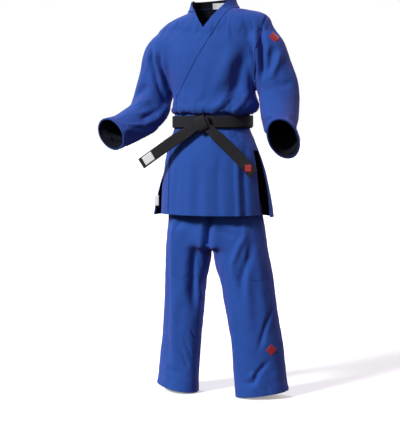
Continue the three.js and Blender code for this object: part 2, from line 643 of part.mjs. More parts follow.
/** Waistband, seat, gusset and legs of the trousers, all cut from one hollow shape. */
function buildTrousers() {
  const legs = Object.values(LEGS);
  const outside = legs.reduce(
    (whole, leg) => whole.add(leg.core(0, leg.last, 0, 0)),
    HIPS.core(0, HIPS.last, 0, 0),
  );
  const aboveFork = box([-FAR, -FAR, -CROTCH_DROP + TROUSER_CLOTH], [FAR, FAR, FAR]);
  const inside = legs.reduce(
    (whole, leg) => whole.add(leg.core(0, leg.last, -TROUSER_CLOTH, 2)),
    HIPS.core(0, HIPS.last, -TROUSER_CLOTH, 2).intersect(aboveFork),
  );
  const cloth = outside.subtract(inside);
  const between = (lowDrop, highDrop, low, high) => {
    const trim = SEAM_GAP / 2;
    return cloth.intersect(box([low + trim, -FAR, -lowDrop + trim], [high - trim, FAR, -highDrop - trim]));
  };

  const bandDrop = WAISTBAND_HEIGHT - WAISTBAND_TOP;
  const bandSpot = box([-FAR, -FAR, -bandDrop + SEAM_GAP / 2], [FAR, FAR, FAR]);
  const band = HIPS.shell(0, HIPS.last, -2 * TROUSER_CLOTH, 0);
  add("waistband", band.intersect(bandSpot), BLUE);
  const sides = { left: [0, FAR], right: [-FAR, 0] };
  for (const [side, [low, high]] of Object.entries(sides)) {
    const leg = LEGS[side];
    add(`trouser_seat_${side}`, between(HIP_CREASE_DROP, bandDrop, low, high), BLUE);
    add(`leg_crease_${side}`, between(THIGH_TOP_DROP, HIP_CREASE_DROP, low, high), BLUE);
    add(`leg_upper_${side}`, between(KNEE_TOP_DROP, THIGH_TOP_DROP, low, high), BLUE);
    add(`leg_knee_${side}`, between(KNEE_BOTTOM_DROP, KNEE_TOP_DROP, low, high), BLUE);
    add(`leg_lower_${side}`, between(FAR, KNEE_BOTTOM_DROP, low, high), BLUE);

    const fold = leg.shell(0, leg.last, ...foldedBehind(TROUSER_CLOTH));
    const foldSpot = box([-FAR, -FAR, -FAR], [FAR, FAR, -HEM_DROP + TROUSER_HEM_BAND]);
    add(`leg_hem_fold_${side}`, fold.intersect(foldSpot), BLUE);
  }
}

/** A flat badge laid on a tube's skin: the part of a thin shell inside a square prism. */
function skinBadge(tube, t, angle, side, base) {
  const middle = tube.skin(t, angle);
  const facing = tube.outward(t, angle);
  const up = new THREE.Vector3(0, 0, 1).addScaledVector(facing, -facing.z).normalize();
  const across = up.clone().cross(facing);
  const frame = new THREE.Matrix4().makeBasis(across, up, facing).setPosition(middle);
  const diamond = new THREE.BoxGeometry(side, side, 60);
  diamond.rotateZ(Math.PI / 4);
  const prism = solidOf(diamond.applyMatrix4(frame));
  return tube.shell(0, tube.last, base + SEAM_GAP, base + SEAM_GAP + BADGE_THICKNESS).intersect(prism);
}

buildJacketTop();
for (const side of ["left", "right"]) buildSleeve(side);
buildSkirt();
buildBelt();
buildTrousers();

const leftLeg = LEGS.left;
const shinHeight = leftLeg.atHeight(-LEG_BADGE_DROP);
add("leg_badge", skinBadge(leftLeg, shinHeight, LEG_BADGE_ANGLE, LEG_BADGE_SIDE / Math.SQRT2, 0), RED);
const leftSleeve = SLEEVES.left;
const shoulderSide = SHOULDER_BADGE_SIDE / Math.SQRT2;
const shoulderBadge = skinBadge(leftSleeve, SHOULDER_BADGE_STATION, SHOULDER_BADGE_ANGLE, shoulderSide, 0);
add("shoulder_badge", shoulderBadge, RED);

export default uniform;
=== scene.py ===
"""Looks of a judo uniform in its worn shape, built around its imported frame.

The jacket with its sleeves and the trousers are each sewn up as one continuous surface, creased like
heavy cotton, and then cut into the lengths that move. Metres, +Z up, +X to the wearer's left.
"""

import logging
import math
from collections.abc import Callable, Sequence
from dataclasses import dataclass, field
from enum import Enum

import bmesh
import bpy
import numpy as np
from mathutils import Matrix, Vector
from mathutils.bvhtree import BVHTree

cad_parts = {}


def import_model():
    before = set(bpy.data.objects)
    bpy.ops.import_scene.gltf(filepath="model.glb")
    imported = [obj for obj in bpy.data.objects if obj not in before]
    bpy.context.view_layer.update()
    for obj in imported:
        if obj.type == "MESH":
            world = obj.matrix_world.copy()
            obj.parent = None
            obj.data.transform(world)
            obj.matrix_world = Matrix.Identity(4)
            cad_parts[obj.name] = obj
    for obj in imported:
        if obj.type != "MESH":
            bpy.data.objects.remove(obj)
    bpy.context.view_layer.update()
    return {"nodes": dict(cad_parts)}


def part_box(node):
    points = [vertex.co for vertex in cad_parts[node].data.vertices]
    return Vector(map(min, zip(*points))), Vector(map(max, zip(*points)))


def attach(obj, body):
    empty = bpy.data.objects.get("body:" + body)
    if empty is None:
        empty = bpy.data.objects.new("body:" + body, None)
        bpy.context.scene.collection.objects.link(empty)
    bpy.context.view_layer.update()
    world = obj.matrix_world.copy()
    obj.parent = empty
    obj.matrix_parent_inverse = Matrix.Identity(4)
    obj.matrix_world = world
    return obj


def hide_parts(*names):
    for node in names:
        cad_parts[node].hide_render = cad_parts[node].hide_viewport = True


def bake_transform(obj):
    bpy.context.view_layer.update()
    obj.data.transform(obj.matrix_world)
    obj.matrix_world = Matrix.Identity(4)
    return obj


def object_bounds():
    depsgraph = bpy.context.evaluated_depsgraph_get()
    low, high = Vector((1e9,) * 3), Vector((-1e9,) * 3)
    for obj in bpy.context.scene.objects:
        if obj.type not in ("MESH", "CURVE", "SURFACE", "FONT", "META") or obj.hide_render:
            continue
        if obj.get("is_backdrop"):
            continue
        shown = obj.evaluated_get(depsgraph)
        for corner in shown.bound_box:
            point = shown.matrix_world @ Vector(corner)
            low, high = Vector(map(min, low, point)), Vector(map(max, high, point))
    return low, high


log = logging.getLogger("uniform")
MM = 0.001
Point = tuple[float, float, float]
Array = np.ndarray
Test = Callable[[Array], Array]
Piece = bpy.types.Object
Solid = tuple[Array, list]  # vertices and faces

# ---- cloth sizes, in millimetres

JACKET_CLOTH = 2.4
TROUSER_CLOTH = 1.8
LAPEL_THICKNESS = 4.0
LAPEL_WIDTH = 42.0
LAYER_GAP = 0.5
HEM_GAP = 0.6
CUFF_BAND = 30.0
JACKET_HEM_BAND = 24.0
TROUSER_HEM_BAND = 30.0
BELT_WIDTH = 42.0
BELT_CLOTH = 2.8
BADGE_SIDE = 30.0
DYED_LIGHT = "2757ab"
DYED_DARK = "224a9b"


def srgb(code: str) -> tuple[float, float, float, float]:
    """Turns an sRGB hex colour into linear RGBA.

    Args:
        code: Six hex digits.

    Returns:
        Linear red, green, blue and an alpha of one.
    """
    parts = [int(code[i : i + 2], 16) / 255 for i in (0, 2, 4)]
    linear = [c / 12.92 if c <= 0.04045 else ((c + 0.055) / 1.055) ** 2.4 for c in parts]
    return (*linear, 1.0)


def put(name: str, data: bpy.types.Mesh) -> Piece:
    """Makes an object of a mesh and puts it in the scene."""
    made = bpy.data.objects.new(name, data)
    bpy.context.scene.collection.objects.link(made)
    return made


def take_mesh(maker: Piece) -> bpy.types.Mesh:
    """The mesh that an object's modifiers make. The object and its own mesh are removed."""
    data = maker.data
    made = bpy.data.meshes.new_from_object(maker.evaluated_get(bpy.context.evaluated_depsgraph_get()))
    bpy.data.objects.remove(maker)
    bpy.data.meshes.remove(data)
    return made


# ---- planes and tubes


@dataclass(frozen=True)
class Plane:
    """A cutting plane through a point, in metres, with a normal of any length."""

    point: Point
    normal: Point

    def side(self, points: Array) -> Array:
        """Signed distances of points from the plane.

        Args:
            points: Rows of x, y, z in metres.

        Returns:
            One distance for each row, positive on the normal's side.
        """
        normal = np.array(self.normal) / np.linalg.norm(self.normal)
        return (points - np.array(self.point)) @ normal

    def moved(self, distance: float) -> "Plane":
        """The parallel plane at a distance in metres along the normal."""
        normal = np.array(self.normal) / np.linalg.norm(self.normal)
        return Plane(tuple(np.array(self.point) + normal * distance), self.normal)


@dataclass(frozen=True)
class Section:
    """One oval cross-section of a sewn tube, in millimetres and degrees."""

    at: Point
    wide: float
    deep: float
    turn: float = 0.0
    tilt: float = 0.0
    pitch: float = 0.0


class Tube:
    """A sewn tube with smooth values between its cross-sections, which stay level."""

    def __init__(self, *sections: Section) -> None:
        """Stores the sections in metres, with one phantom section past each end.

        Args:
            sections: Cross-sections from one end of the tube to the other.
        """
        rows = np.array(
            [[*s.at, s.wide, s.deep, math.radians(s.turn), s.tilt, s.pitch] for s in sections]
        )
        rows[:, :5] *= MM
        self.rows = np.vstack([2 * rows[0] - rows[1], rows, 2 * rows[-1] - rows[-2]])
        self.last = len(sections) - 1

    def sample(self, t: Array) -> Array:
        """Section values at station parameters, by uniform Catmull-Rom curves.

        Args:
            t: Parameters from 0 to the last station's number.

        Returns:
            One row of eight values for each parameter.
        """
        t = np.clip(np.atleast_1d(np.asarray(t, float)), 0, self.last)
        i = np.minimum(t.astype(int), self.last - 1)
        f = (t - i)[:, None]
        before, start, end, after = (self.rows[i + k] for k in range(4))
        leave, arrive = (end - before) / 2, (after - start) / 2
        return (
            (2 * f**3 - 3 * f**2 + 1) * start
            + (f**3 - 2 * f**2 + f) * leave
            + (3 * f**2 - 2 * f**3) * end
            + (f**3 - f**2) * arrive
        )

    def axes(self, t: Array) -> tuple[Array, Array, Array]:
        """Width, depth and running directions of the sections.

        Args:
            t: Station parameters.

        Returns:
            Three arrays with one direction for each parameter.
        """
        rows = self.sample(t)
        turn = rows[:, 5]
        across = np.stack([np.cos(turn), np.sin(turn), rows[:, 6]], 1)
        deep = np.stack([-np.sin(turn), np.cos(turn), rows[:, 7]], 1)
        return across, deep, np.tile([0.0, 0.0, 1.0], (len(turn), 1))

    def skin(self, t: Array, angle: Array) -> Array:
        """A grid of points on the tube's skin.

        Args:
            t: Station parameters, one for each row of the grid.
            angle: Angles round the tube, one for each column.

        Returns:
            An array of rows by columns by three.
        """
        rows = self.sample(t)
        across, deep, _ = self.axes(t)
        c, s = np.cos(angle)[None, :, None], np.sin(angle)[None, :, None]
        wide, depth = rows[:, 3, None, None], rows[:, 4, None, None]
        return rows[:, None, :3] + across[:, None] * wide * c + deep[:, None] * depth * s

    def chart(self, points: Array) -> tuple[Array, float]:
        """Flat cloth coordinates of points near the skin.

        Args:
            points: Rows of x, y, z in metres.

        Returns:
            Distance round and distance along for each point, and the distance once round.
        """
        fine = np.linspace(0, self.last, 40 * self.last + 1)
        rows = self.sample(fine)
        gaps = ((points[:, None, :] - rows[None, :, :3]) ** 2).sum(2)
        nearest = fine[gaps.argmin(1)] if self.bends() else np.interp(points[:, 2], rows[:, 2], fine)
        across, deep, _ = self.axes(nearest)
        found = self.sample(nearest)
        arm = points - found[:, :3]
        angle = np.arctan2((arm * deep).sum(1) / found[:, 4], (arm * across).sum(1) / found[:, 3])
        radius = float(rows[:, 3:5].mean())
        runs = np.concatenate([[0], np.cumsum(np.linalg.norm(np.diff(rows[:, :3], axis=0), axis=1))])
        along = np.interp(nearest, fine, runs) if self.bends() else points[:, 2]
        return np.stack([angle * radius, along], 1), 2 * math.pi * radius

    def bends(self) -> bool:
        """Whether the sections follow a bending centre line."""
        return False

    def solid(self, sides: int, rows: int, before: float, after: float) -> Solid:
        """The closed solid of the tube, lengthened past its ends.

        Args:
            sides: Points round each ring.
            rows: Number of steps along the tube.
            before: Added length at the first section, in metres.
            after: Added length at the last section, in metres.

        Returns:
            Vertices and faces.
        """
        t = np.linspace(0, self.last, rows + 1)
        angle = np.linspace(0, 2 * math.pi, sides, endpoint=False)
        rings = self.skin(t, angle)
        along = self.axes(t)[2]
        rings = np.concatenate([rings[:1] - along[0] * before, rings, rings[-1:] + along[-1] * after])
        faces = grid_faces(len(rings), sides, True)
        top = (len(rings) - 1) * sides
        faces += [list(range(sides))[::-1], [top + i for i in range(sides)]]
        return rings.reshape(-1, 3), faces


class BentTube(Tube):
    """A tube whose sections follow a bending centre line, such as a sleeve."""

    def __init__(self, *sections: Section, first_wide: Point, facing: Point) -> None:
        """Carries the section axes along the centre line without twist.

        Args:
            sections: Cross-sections from the shoulder to the cuff.
            first_wide: Direction of the width axis at the first section.
            facing: Direction that the last section looks along.
        """
        super().__init__(*sections)
        self.fine = np.linspace(0, self.last, 24 * self.last + 1)
        step = 0.02
        run = super().sample(self.fine + step)[:, :3] - super().sample(self.fine - step)[:, :3]
        run /= np.linalg.norm(run, axis=1)[:, None]
        share = np.clip(self.fine - (self.last - 1), 0, 1)
        share = (share**2 * (3 - 2 * share))[:, None]
        look = np.array(facing) / np.linalg.norm(facing)
        run = run * (1 - share) + look * share
        self.runs = run / np.linalg.norm(run, axis=1)[:, None]
        across = np.array(first_wide, float)
        kept = []
        for along in self.runs:
            across = across - along * (across @ along)
            across /= np.linalg.norm(across)
            kept.append(across)
        self.widths = np.array(kept)

    def bends(self) -> bool:
        """Whether the sections follow a bending centre line."""
        return True

    def axes(self, t: Array) -> tuple[Array, Array, Array]:
        """Width, depth and running directions of the sections.

        Args:
            t: Station parameters.

        Returns:
            Three arrays with one direction for each parameter.
        """
        t = np.clip(np.atleast_1d(np.asarray(t, float)), 0, self.last)
        along, across = (
            np.stack([np.interp(t, self.fine, table[:, k]) for k in range(3)], 1)
            for table in (self.runs, self.widths)
        )
        return across, np.cross(along, across), along

    def plane(self, t: float) -> Plane:
        """The plane square to the centre line at t, looking towards the cuff."""
        return Plane(tuple(self.sample(t)[0, :3]), tuple(self.axes(t)[2][0]))


def grid_faces(rows: int, columns: int, closed: bool) -> list[list[int]]:
    """Quads of a grid of points, row after row.

    Args:
        rows: Number of rows of points.
        columns: Number of points in a row.
        closed: Whether the last point of a row joins the first one.

    Returns:
        One list of four vertex numbers for each quad.
    """
    return [
        [
            i * columns + j,
            i * columns + (j + 1) % columns,
            (i + 1) * columns + (j + 1) % columns,
            (i + 1) * columns + j,
        ]
        for i in range(rows - 1)
        for j in range(columns if closed else columns - 1)
    ]


# ---- the worn shape

TORSO = Tube(
    Section((0, 0, -30), 141, 101),
    Section((0, 0, 0), 139, 99),
    Section((0, 0, 28), 142, 102),
    Section((9, 0, 54), 160, 118),
    Section((12, 0, 78), 160, 119),
    Section((4, 0, 112), 156, 119),
    Section((1, 2, 185), 176, 118),
    Section((0, 5, 255), 198, 109, tilt=0.02),
    Section((0, 8, 303), 214, 97, tilt=0.05),
    Section((0, 12, 342), 222, 84, tilt=0.07),
    Section((0, 16, 370), 200, 74, tilt=0.08),
    Section((-2, 20, 393), 136, 67, tilt=0.07, pitch=0.04),
    Section((-4, 22, 406), 91, 65, tilt=0.06, pitch=0.1),
)
COLLAR = Tube(
    Section((-4, 22, 407), 91, 65, tilt=0.06, pitch=0.1),
    Section((-5, 24, 446), 79, 58, tilt=0.08, pitch=0.04),
)
HIPS = Tube(
    Section((13, 2, -452), 201, 100),
    Section((12, 2, -392), 195, 101),
    Section((8, 2, -300), 183, 101),
    Section((3, 1, -200), 165, 100),
    Section((0, 0, -104), 147, 97),
    Section((0, 0, -30), 138, 98),
    Section((0, 0, 16), 132, 92),
)
SKIRT_FRONT = Tube(
    Section((3, -6, -336), 194, 124),
    Section((3, -5, -258), 189, 122),
    Section((3, -4, -180), 182, 119),
    Section((3, -2, -104), 169, 113),
    Section((0, 0, -30), 141, 101),
    Section((0, 0, -6), 139, 99),
)
SKIRT_BACK = Tube(
    Section((-6, 20, -344), 232, 136),
    Section((-2, 15, -258), 215, 132),
    Section((2, 8, -180), 195, 124),
    Section((3, 0, -104), 171, 114),
    Section((0, 0, -30), 141, 101),
    Section((0, 0, -6), 139, 99),
)


class Side(Enum):
    """A side of the wearer, with its sign along X."""

    LEFT = 1
    RIGHT = -1

    @property
    def word(self) -> str:
        """The side's name in lower case."""
        return self.name.lower()


LEGS = {
    Side.LEFT: Tube(
        Section((190, 16, -988), 100, 64, turn=20, tilt=0.13),
        Section((183, 14, -930), 99, 64, turn=20, tilt=0.06),
        Section((171, 10, -800), 98, 66, turn=19),
        Section((156, 6, -700), 96, 70, turn=17),
        Section((142, 3, -600), 99, 77, turn=14),
        Section((127, 2, -530), 104, 84, turn=10),
        Section((111, 2, -452), 103, 92, turn=4),
        Section((98, 2, -380), 94, 95),
    ),
    Side.RIGHT: Tube(
        Section((-143, 14, -988), 94, 60, turn=-22, tilt=-0.12),
        Section((-138, 13, -930), 90, 59, turn=-22, tilt=-0.06),
        Section((-127, 10, -800), 86, 60, turn=-21),
        Section((-118, 6, -700), 84, 63, turn=-18),
        Section((-111, 3, -600), 84, 70, turn=-14),
        Section((-104, 2, -530), 86, 79, turn=-8),
        Section((-97, 2, -452), 90, 90, turn=-3),
        Section((-92, 2, -380), 88, 94),
    ),
}
SLEEVES = {
    Side.LEFT: BentTube(
        Section((120, 8, 280), 98, 68),
        Section((184, 9, 252), 100, 72),
        Section((228, 12, 190), 79, 63),
        Section((256, 8, 120), 75, 60),
        Section((266, -20, 58), 70, 62),
        Section((284, -72, -6), 63, 70),
        Section((307, -122, -60), 55, 82),
        first_wide=(0, 0, 1),
        facing=(0.26, -0.86, -0.44),
    ),
    Side.RIGHT: BentTube(
        Section((-120, 8, 268), 98, 68),
        Section((-184, 9, 236), 100, 71),
        Section((-223, 12, 172), 77, 62),
        Section((-245, 8, 102), 74, 60),
        Section((-254, -20, 38), 77, 60),
        Section((-292, -88, -4), 69, 57),
        Section((-340, -150, -46), 72, 56),
        first_wide=(0, 0, 1),
        facing=(-0.41, -0.89, -0.18),
    ),
}

V_BOTTOM = (-11.0, 337.0)
LAPEL_LEAN = 0.56
NECK_LEAN = 0.72
LAPEL_TURN_Z = 95.0
BELT_COVER_Z = -14 * MM  # the jacket and its skirt meet here, under the belt
SIDE_SEAM_Y = 6 * MM


def level(z: float) -> Plane:
    """The level plane at a height in metres, looking up."""
    return Plane((0, 0, z), (0, 0, 1))


def upright(x: float) -> Plane:
    """The plane at an x in metres, looking to larger x."""
    return Plane((x, 0, 0), (1, 0, 0))


def front_plane(a: tuple[float, float], b: tuple[float, float]) -> Plane:
    """The plane through two points of the front, given as x and z, that holds the direction Y.

    Args:
        a: Lower point in millimetres.
        b: Upper point in millimetres.

    Returns:
        The plane, whose normal points to larger x.
    """
    run = (b[0] - a[0], b[1] - a[1])
    return Plane((a[0] * MM, 0.0, a[1] * MM), (run[1], 0.0, -run[0]))


def lapel_plane(side: Side, offset: float, above_v: bool = False) -> Plane:
    """A plane that runs with a lapel's free edge on the chest.

    Args:
        side: Which front the lapel belongs to.
        offset: Distance outwards from the free edge, in millimetres.
        above_v: Whether to follow the steeper line beside the open neck.

    Returns:
        The plane, whose normal points to larger x.
    """
    lean = (NECK_LEAN if above_v else LAPEL_LEAN) * side.value
    x, z = V_BOTTOM
    shift = side.value * offset * math.hypot(1, lean)
    return front_plane((x + shift - 100 * lean, z - 100), (x + shift + 100 * lean, z + 100))


# ---- creases


class Face(Enum):
    """The side of the uniform that a fold lies on, with the way to look at that side."""

    FRONT = (0.0, 1.0, 0.0)
    BACK = (0.0, -1.0, 0.0)


@dataclass(frozen=True)
class Fold:
    """A ridge, or with a negative height a groove, that the cloth falls into along a line.

    The path's points are x and z on the front or the back, and all sizes are in millimetres. A fold
    fades out towards its ends, or only at its start where its end is open.
    """

    face: Face
    path: tuple[tuple[float, float], ...]
    width: float
    height: float
    fade: float = 0.35
    open_end: bool = False

    def trace(self, tree: BVHTree) -> Array:
        """The fold's line on the cloth.

        Args:
            tree: Search tree of the cloth.

        Returns:
            Points along the line, in metres.
        """
        looking = Vector(self.face.value)
        line = []
        for a, b in zip(self.path, self.path[1:]):
            count = max(2, round(math.dist(a, b) / 8))
            for k in range(count + 1):
                x, z = (p + (q - p) * k / count for p, q in zip(a, b))
                hit = tree.ray_cast(Vector((x * MM, 0, z * MM)) - looking, looking)[0]
                if hit is not None:
                    line.append(hit)
        return np.array(line).reshape(-1, 3)

    def lift(self, points: Array, tree: BVHTree) -> Array:
        """How far the fold moves points along the cloth's normal.

        Args:
            points: Rows of x, y, z in metres.
            tree: Search tree of the cloth.

        Returns:
            One distance for each row, in metres.
        """
        line = self.trace(tree)
        lift = np.zeros(len(points))
        if len(line) < 2:
            return lift
        reach = 5 * self.width * MM
        near = np.all((points > line.min(0) - reach) & (points < line.max(0) + reach), axis=1)
        close = points[near]
        lengths = np.maximum(np.linalg.norm(np.diff(line, axis=0), axis=1), 1e-6)
        starts = np.concatenate([[0], np.cumsum(lengths)])
        best = np.full(len(close), 1e9)
        where = np.zeros(len(close))
        for a, b, length, start in zip(line, line[1:], lengths, starts):
            share = np.clip((close - a) @ (b - a) / length**2, 0, 1)
            gap = np.linalg.norm(close - (a + share[:, None] * (b - a)), axis=1)
            nearer = gap < best
            best = np.where(nearer, gap, best)
            where = np.where(nearer, start + share * length, where)
        share = where / starts[-1]
        left = share if self.open_end else np.minimum(share, 1 - share)
        ends = np.clip(left / self.fade, 0, 1)
        ends = ends**2 * (3 - 2 * ends)
        x = best / (self.width * MM)
        profile = 1.2 * np.exp(-(x**2)) - 0.3 * np.exp(-((x / 2.2) ** 2))
        lift[near] = self.height * MM * profile * ends
        return lift


def on(face: Face, *rows: tuple) -> list[Fold]:
    """Folds on one side. A row is a path, a width, a height and, where they differ, fade and open end."""
    return [Fold(face, *row) for row in rows]


def gathers(face: Face, places: Sequence[float], low: float, high: float, height: float) -> list[Fold]:
    """Short folds that run up or down from where the belt draws the cloth in.

    Args:
        face: The side that they lie on.
        places: X of each fold where it starts, in millimetres.
        low: Height where they start.
        high: Height where they end.
        height: Height of the largest, which every second fold turns into a groove.

    Returns:
        The folds.
    """
    made = []
    for number, x in enumerate(places):
        sign = -1 if number % 2 else 1
        lean = 0.22 * x + 9 * math.sin(2.3 * number + low)
        end = low + (high - low) * (0.75 + 0.25 * math.sin(1.9 * number))
        path = ((x, low), (x + lean * 0.4, (low + end) / 2), (x + lean, end))
        made.append(Fold(face, path, 8 + 2 * math.sin(number), sign * height, 0.3))
    return made


def crease(cloth: "Cloth", folds: Sequence[Fold], wander: float, seed: int) -> "Cloth":
    """Lays folds and a slight unevenness into a sheet of cloth.

    Args:
        cloth: The sheet.
        folds: The folds.
        wander: Depth of the unevenness in millimetres.
        seed: Seed of the unevenness.

    Returns:
        The same sheet.
    """
    points, tree = cloth.points(), cloth.tree()
    lift = sum((fold.lift(points, tree) for fold in folds), np.zeros(len(points)))
    broad = ripple(points, ((9, 2, 4), (-5, 3, 8), (3, -8, -6), (12, 4, -3)), seed)
    small = ripple(points, ((24, 5, 12), (-18, 9, 20), (8, -22, 16)), seed + 1)
    lift += wander * MM * (broad + 0.35 * small)
    return cloth.move(points + cloth.normals() * lift[:, None])


def ripple(points: Array, directions: Sequence[Point], seed: int) -> Array:
    """Small uneven waves, as a sum of sines with warped phases.

    Args:
        points: Rows of x, y, z in metres.
        directions: Wave vectors, in waves for each metre.
        seed: Seed of the phases.

    Returns:
        One value from about -1 to 1 for each row.
    """
    rng = np.random.default_rng(seed)
    total = np.zeros(len(points))
    for wave in directions:
        phase, warp = rng.uniform(0, 2 * math.pi, 2)
        bend = 1.3 * np.sin(points @ rng.normal(0, 9, 3) + warp)
        total += np.sin(2 * math.pi * points @ np.array(wave) + phase + bend)
    return total / len(directions)


# ---- sheets of cloth


class Cloth:
    """A sheet of mesh cloth that planes cut and tests trim."""

    def __init__(self, mesh: bmesh.types.BMesh) -> None:
        """Keeps the mesh.

        Args:
            mesh: The sheet, with its faces pointing out of the garment.
        """
        self.mesh = mesh

    @classmethod
    def of(cls, vertices: Array, faces: Sequence[Sequence[int]]) -> "Cloth":
        """Makes a sheet of vertices and faces.

        Args:
            vertices: Rows of x, y, z in metres.
            faces: Vertex numbers of each face.

        Returns:
            The sheet.
        """
        data = bpy.data.meshes.new("cloth")
        data.from_pydata(vertices.tolist(), [], [list(f) for f in faces])
        return cls.from_mesh(data)

    @classmethod
    def from_mesh(cls, data: bpy.types.Mesh) -> "Cloth":
        """Takes a Blender mesh over, and removes it.

        Args:
            data: The mesh.

        Returns:
            The sheet.
        """
        mesh = bmesh.new()
        mesh.from_mesh(data)
        bpy.data.meshes.remove(data)
        mesh.normal_update()
        return cls(mesh)

    def copy(self) -> "Cloth":
        """A sheet of its own with the same shape."""
        return Cloth(self.mesh.copy())

    def points(self) -> Array:
        """Vertex positions, one row each."""
        return np.array([v.co for v in self.mesh.verts])

    def normals(self) -> Array:
        """Vertex normals, one row each."""
        return np.array([v.normal for v in self.mesh.verts])

    def move(self, points: Array) -> "Cloth":
        """Puts the vertices at new places.

        Args:
            points: One row for each vertex.

        Returns:
            The same sheet.
        """
        for vertex, place in zip(self.mesh.verts, points.tolist()):
            vertex.co = place
        self.mesh.normal_update()
        return self

    def smoothed(self, z: float, reach: float, steps: int) -> "Cloth":
        """Evens the sheet out near a height.

        Args:
            z: The height in millimetres.
            reach: How far above and below it the effect fades out, in millimetres.
            steps: Number of steps.

        Returns:
            The same sheet.
        """
        points = self.points()
        ends = np.array([[e.verts[0].index, e.verts[1].index] for e in self.mesh.edges])
        share = np.clip(1 - np.abs(points[:, 2] - z * MM) / (reach * MM), 0, 1)[:, None]
        count = np.bincount(ends.ravel(), minlength=len(points))[:, None]
        for _ in range(steps):
            total = np.zeros_like(points)
            np.add.at(total, ends[:, 0], points[ends[:, 1]])
            np.add.at(total, ends[:, 1], points[ends[:, 0]])
            points += (total / count - points) * 0.6 * share
        return self.move(points)

    def raised(self, height: float) -> "Cloth":
        """A copy laid at a height above this sheet, in millimetres."""
        made = self.copy()
        return made.move(made.points() + made.normals() * height * MM)

    def cut(self, *planes: Plane) -> "Cloth":
        """Adds edges where planes cross the sheet.

        Args:
            planes: The cutting planes.

        Returns:
            The same sheet.
        """
        for plane in planes:
            everything = [*self.mesh.verts, *self.mesh.edges, *self.mesh.faces]
            bmesh.ops.bisect_plane(
                self.mesh, geom=everything, dist=1e-6, plane_co=plane.point, plane_no=plane.normal
            )
        return self

    def keep(self, test: Test) -> "Cloth":
        """Removes the faces whose middles fail a test.

        Args:
            test: Takes rows of x, y, z and returns one truth value for each.

        Returns:
            The same sheet.
        """
        faces = list(self.mesh.faces)
        middles = np.array([f.calc_center_median() for f in faces]).reshape(-1, 3)
        lost = [face for face, kept in zip(faces, test(middles)) if not kept]
        bmesh.ops.delete(self.mesh, geom=lost, context="FACES")
        self.mesh.normal_update()
        return self

    def section(self, plane: Plane, test: Test | None = None) -> tuple[list, list, list]:
        """The line where a plane crosses the sheet.

        Args:
            plane: The plane.
            test: Tells which points of the line are wanted, if not all of them.

        Returns:
            Points, outward directions and edges of the line.
        """
        made = self.copy().mesh
        everything = [*made.verts, *made.edges, *made.faces]
        found = bmesh.ops.bisect_plane(
            made, geom=everything, dist=1e-6, plane_co=plane.point, plane_no=plane.normal
        )["geom_cut"]
        made.normal_update()
        edges = [g for g in found if isinstance(g, bmesh.types.BMEdge)]
        corners = sorted({v for e in edges for v in e.verts}, key=lambda v: v.index)
        if not corners:
            return [], [], []
        wanted = test(np.array([v.co for v in corners])) if test else [True] * len(corners)
        kept = [v for v, good in zip(corners, wanted) if good]
        number = {v: i for i, v in enumerate(kept)}
        lines = [
            (number[e.verts[0]], number[e.verts[1]])
            for e in edges
            if e.verts[0] in number and e.verts[1] in number
        ]
        points, outs = [v.co.copy() for v in kept], [v.normal.copy() for v in kept]
        made.free()
        return points, outs, lines

    def tree(self) -> BVHTree:
        """A search tree of the sheet's faces."""
        return BVHTree.FromBMesh(self.mesh)


def fuse(name: str, solids: Sequence[Solid], voxel: float, smooth: int) -> Cloth:
    """Joins closed solids into one smooth surface.

    Args:
        name: Name of the result.
        solids: Vertices and faces of each solid.
        voxel: Mesh size in millimetres.
        smooth: Number of smoothing steps.

    Returns:
        The outside of the joined solids.
    """
    data = bpy.data.meshes.new(name)
    vertices, faces = [], []
    for points, polygons in solids:
        faces += [[i + len(vertices) for i in polygon] for polygon in polygons]
        vertices += points.tolist()
    data.from_pydata(vertices, [], faces)
    maker = put(name, data)
    remesh = maker.modifiers.new("remesh", "REMESH")
    remesh.mode = "VOXEL"
    remesh.voxel_size = voxel * MM
    soften = maker.modifiers.new("soften", "SMOOTH")
    soften.factor = 0.5
    soften.iterations = smooth
    return Cloth.from_mesh(take_mesh(maker))


@dataclass(frozen=True)
class Drape:
    """How stiff, heavy cotton settles, in the units of Blender's cloth."""

    quality: int = 4
    mass: float = 0.35
    stretch: float = 18.0
    shear: float = 8.0
    bend: float = 1.6
    air: float = 4.0
    gravity: float = 0.25
    frames: int = 16


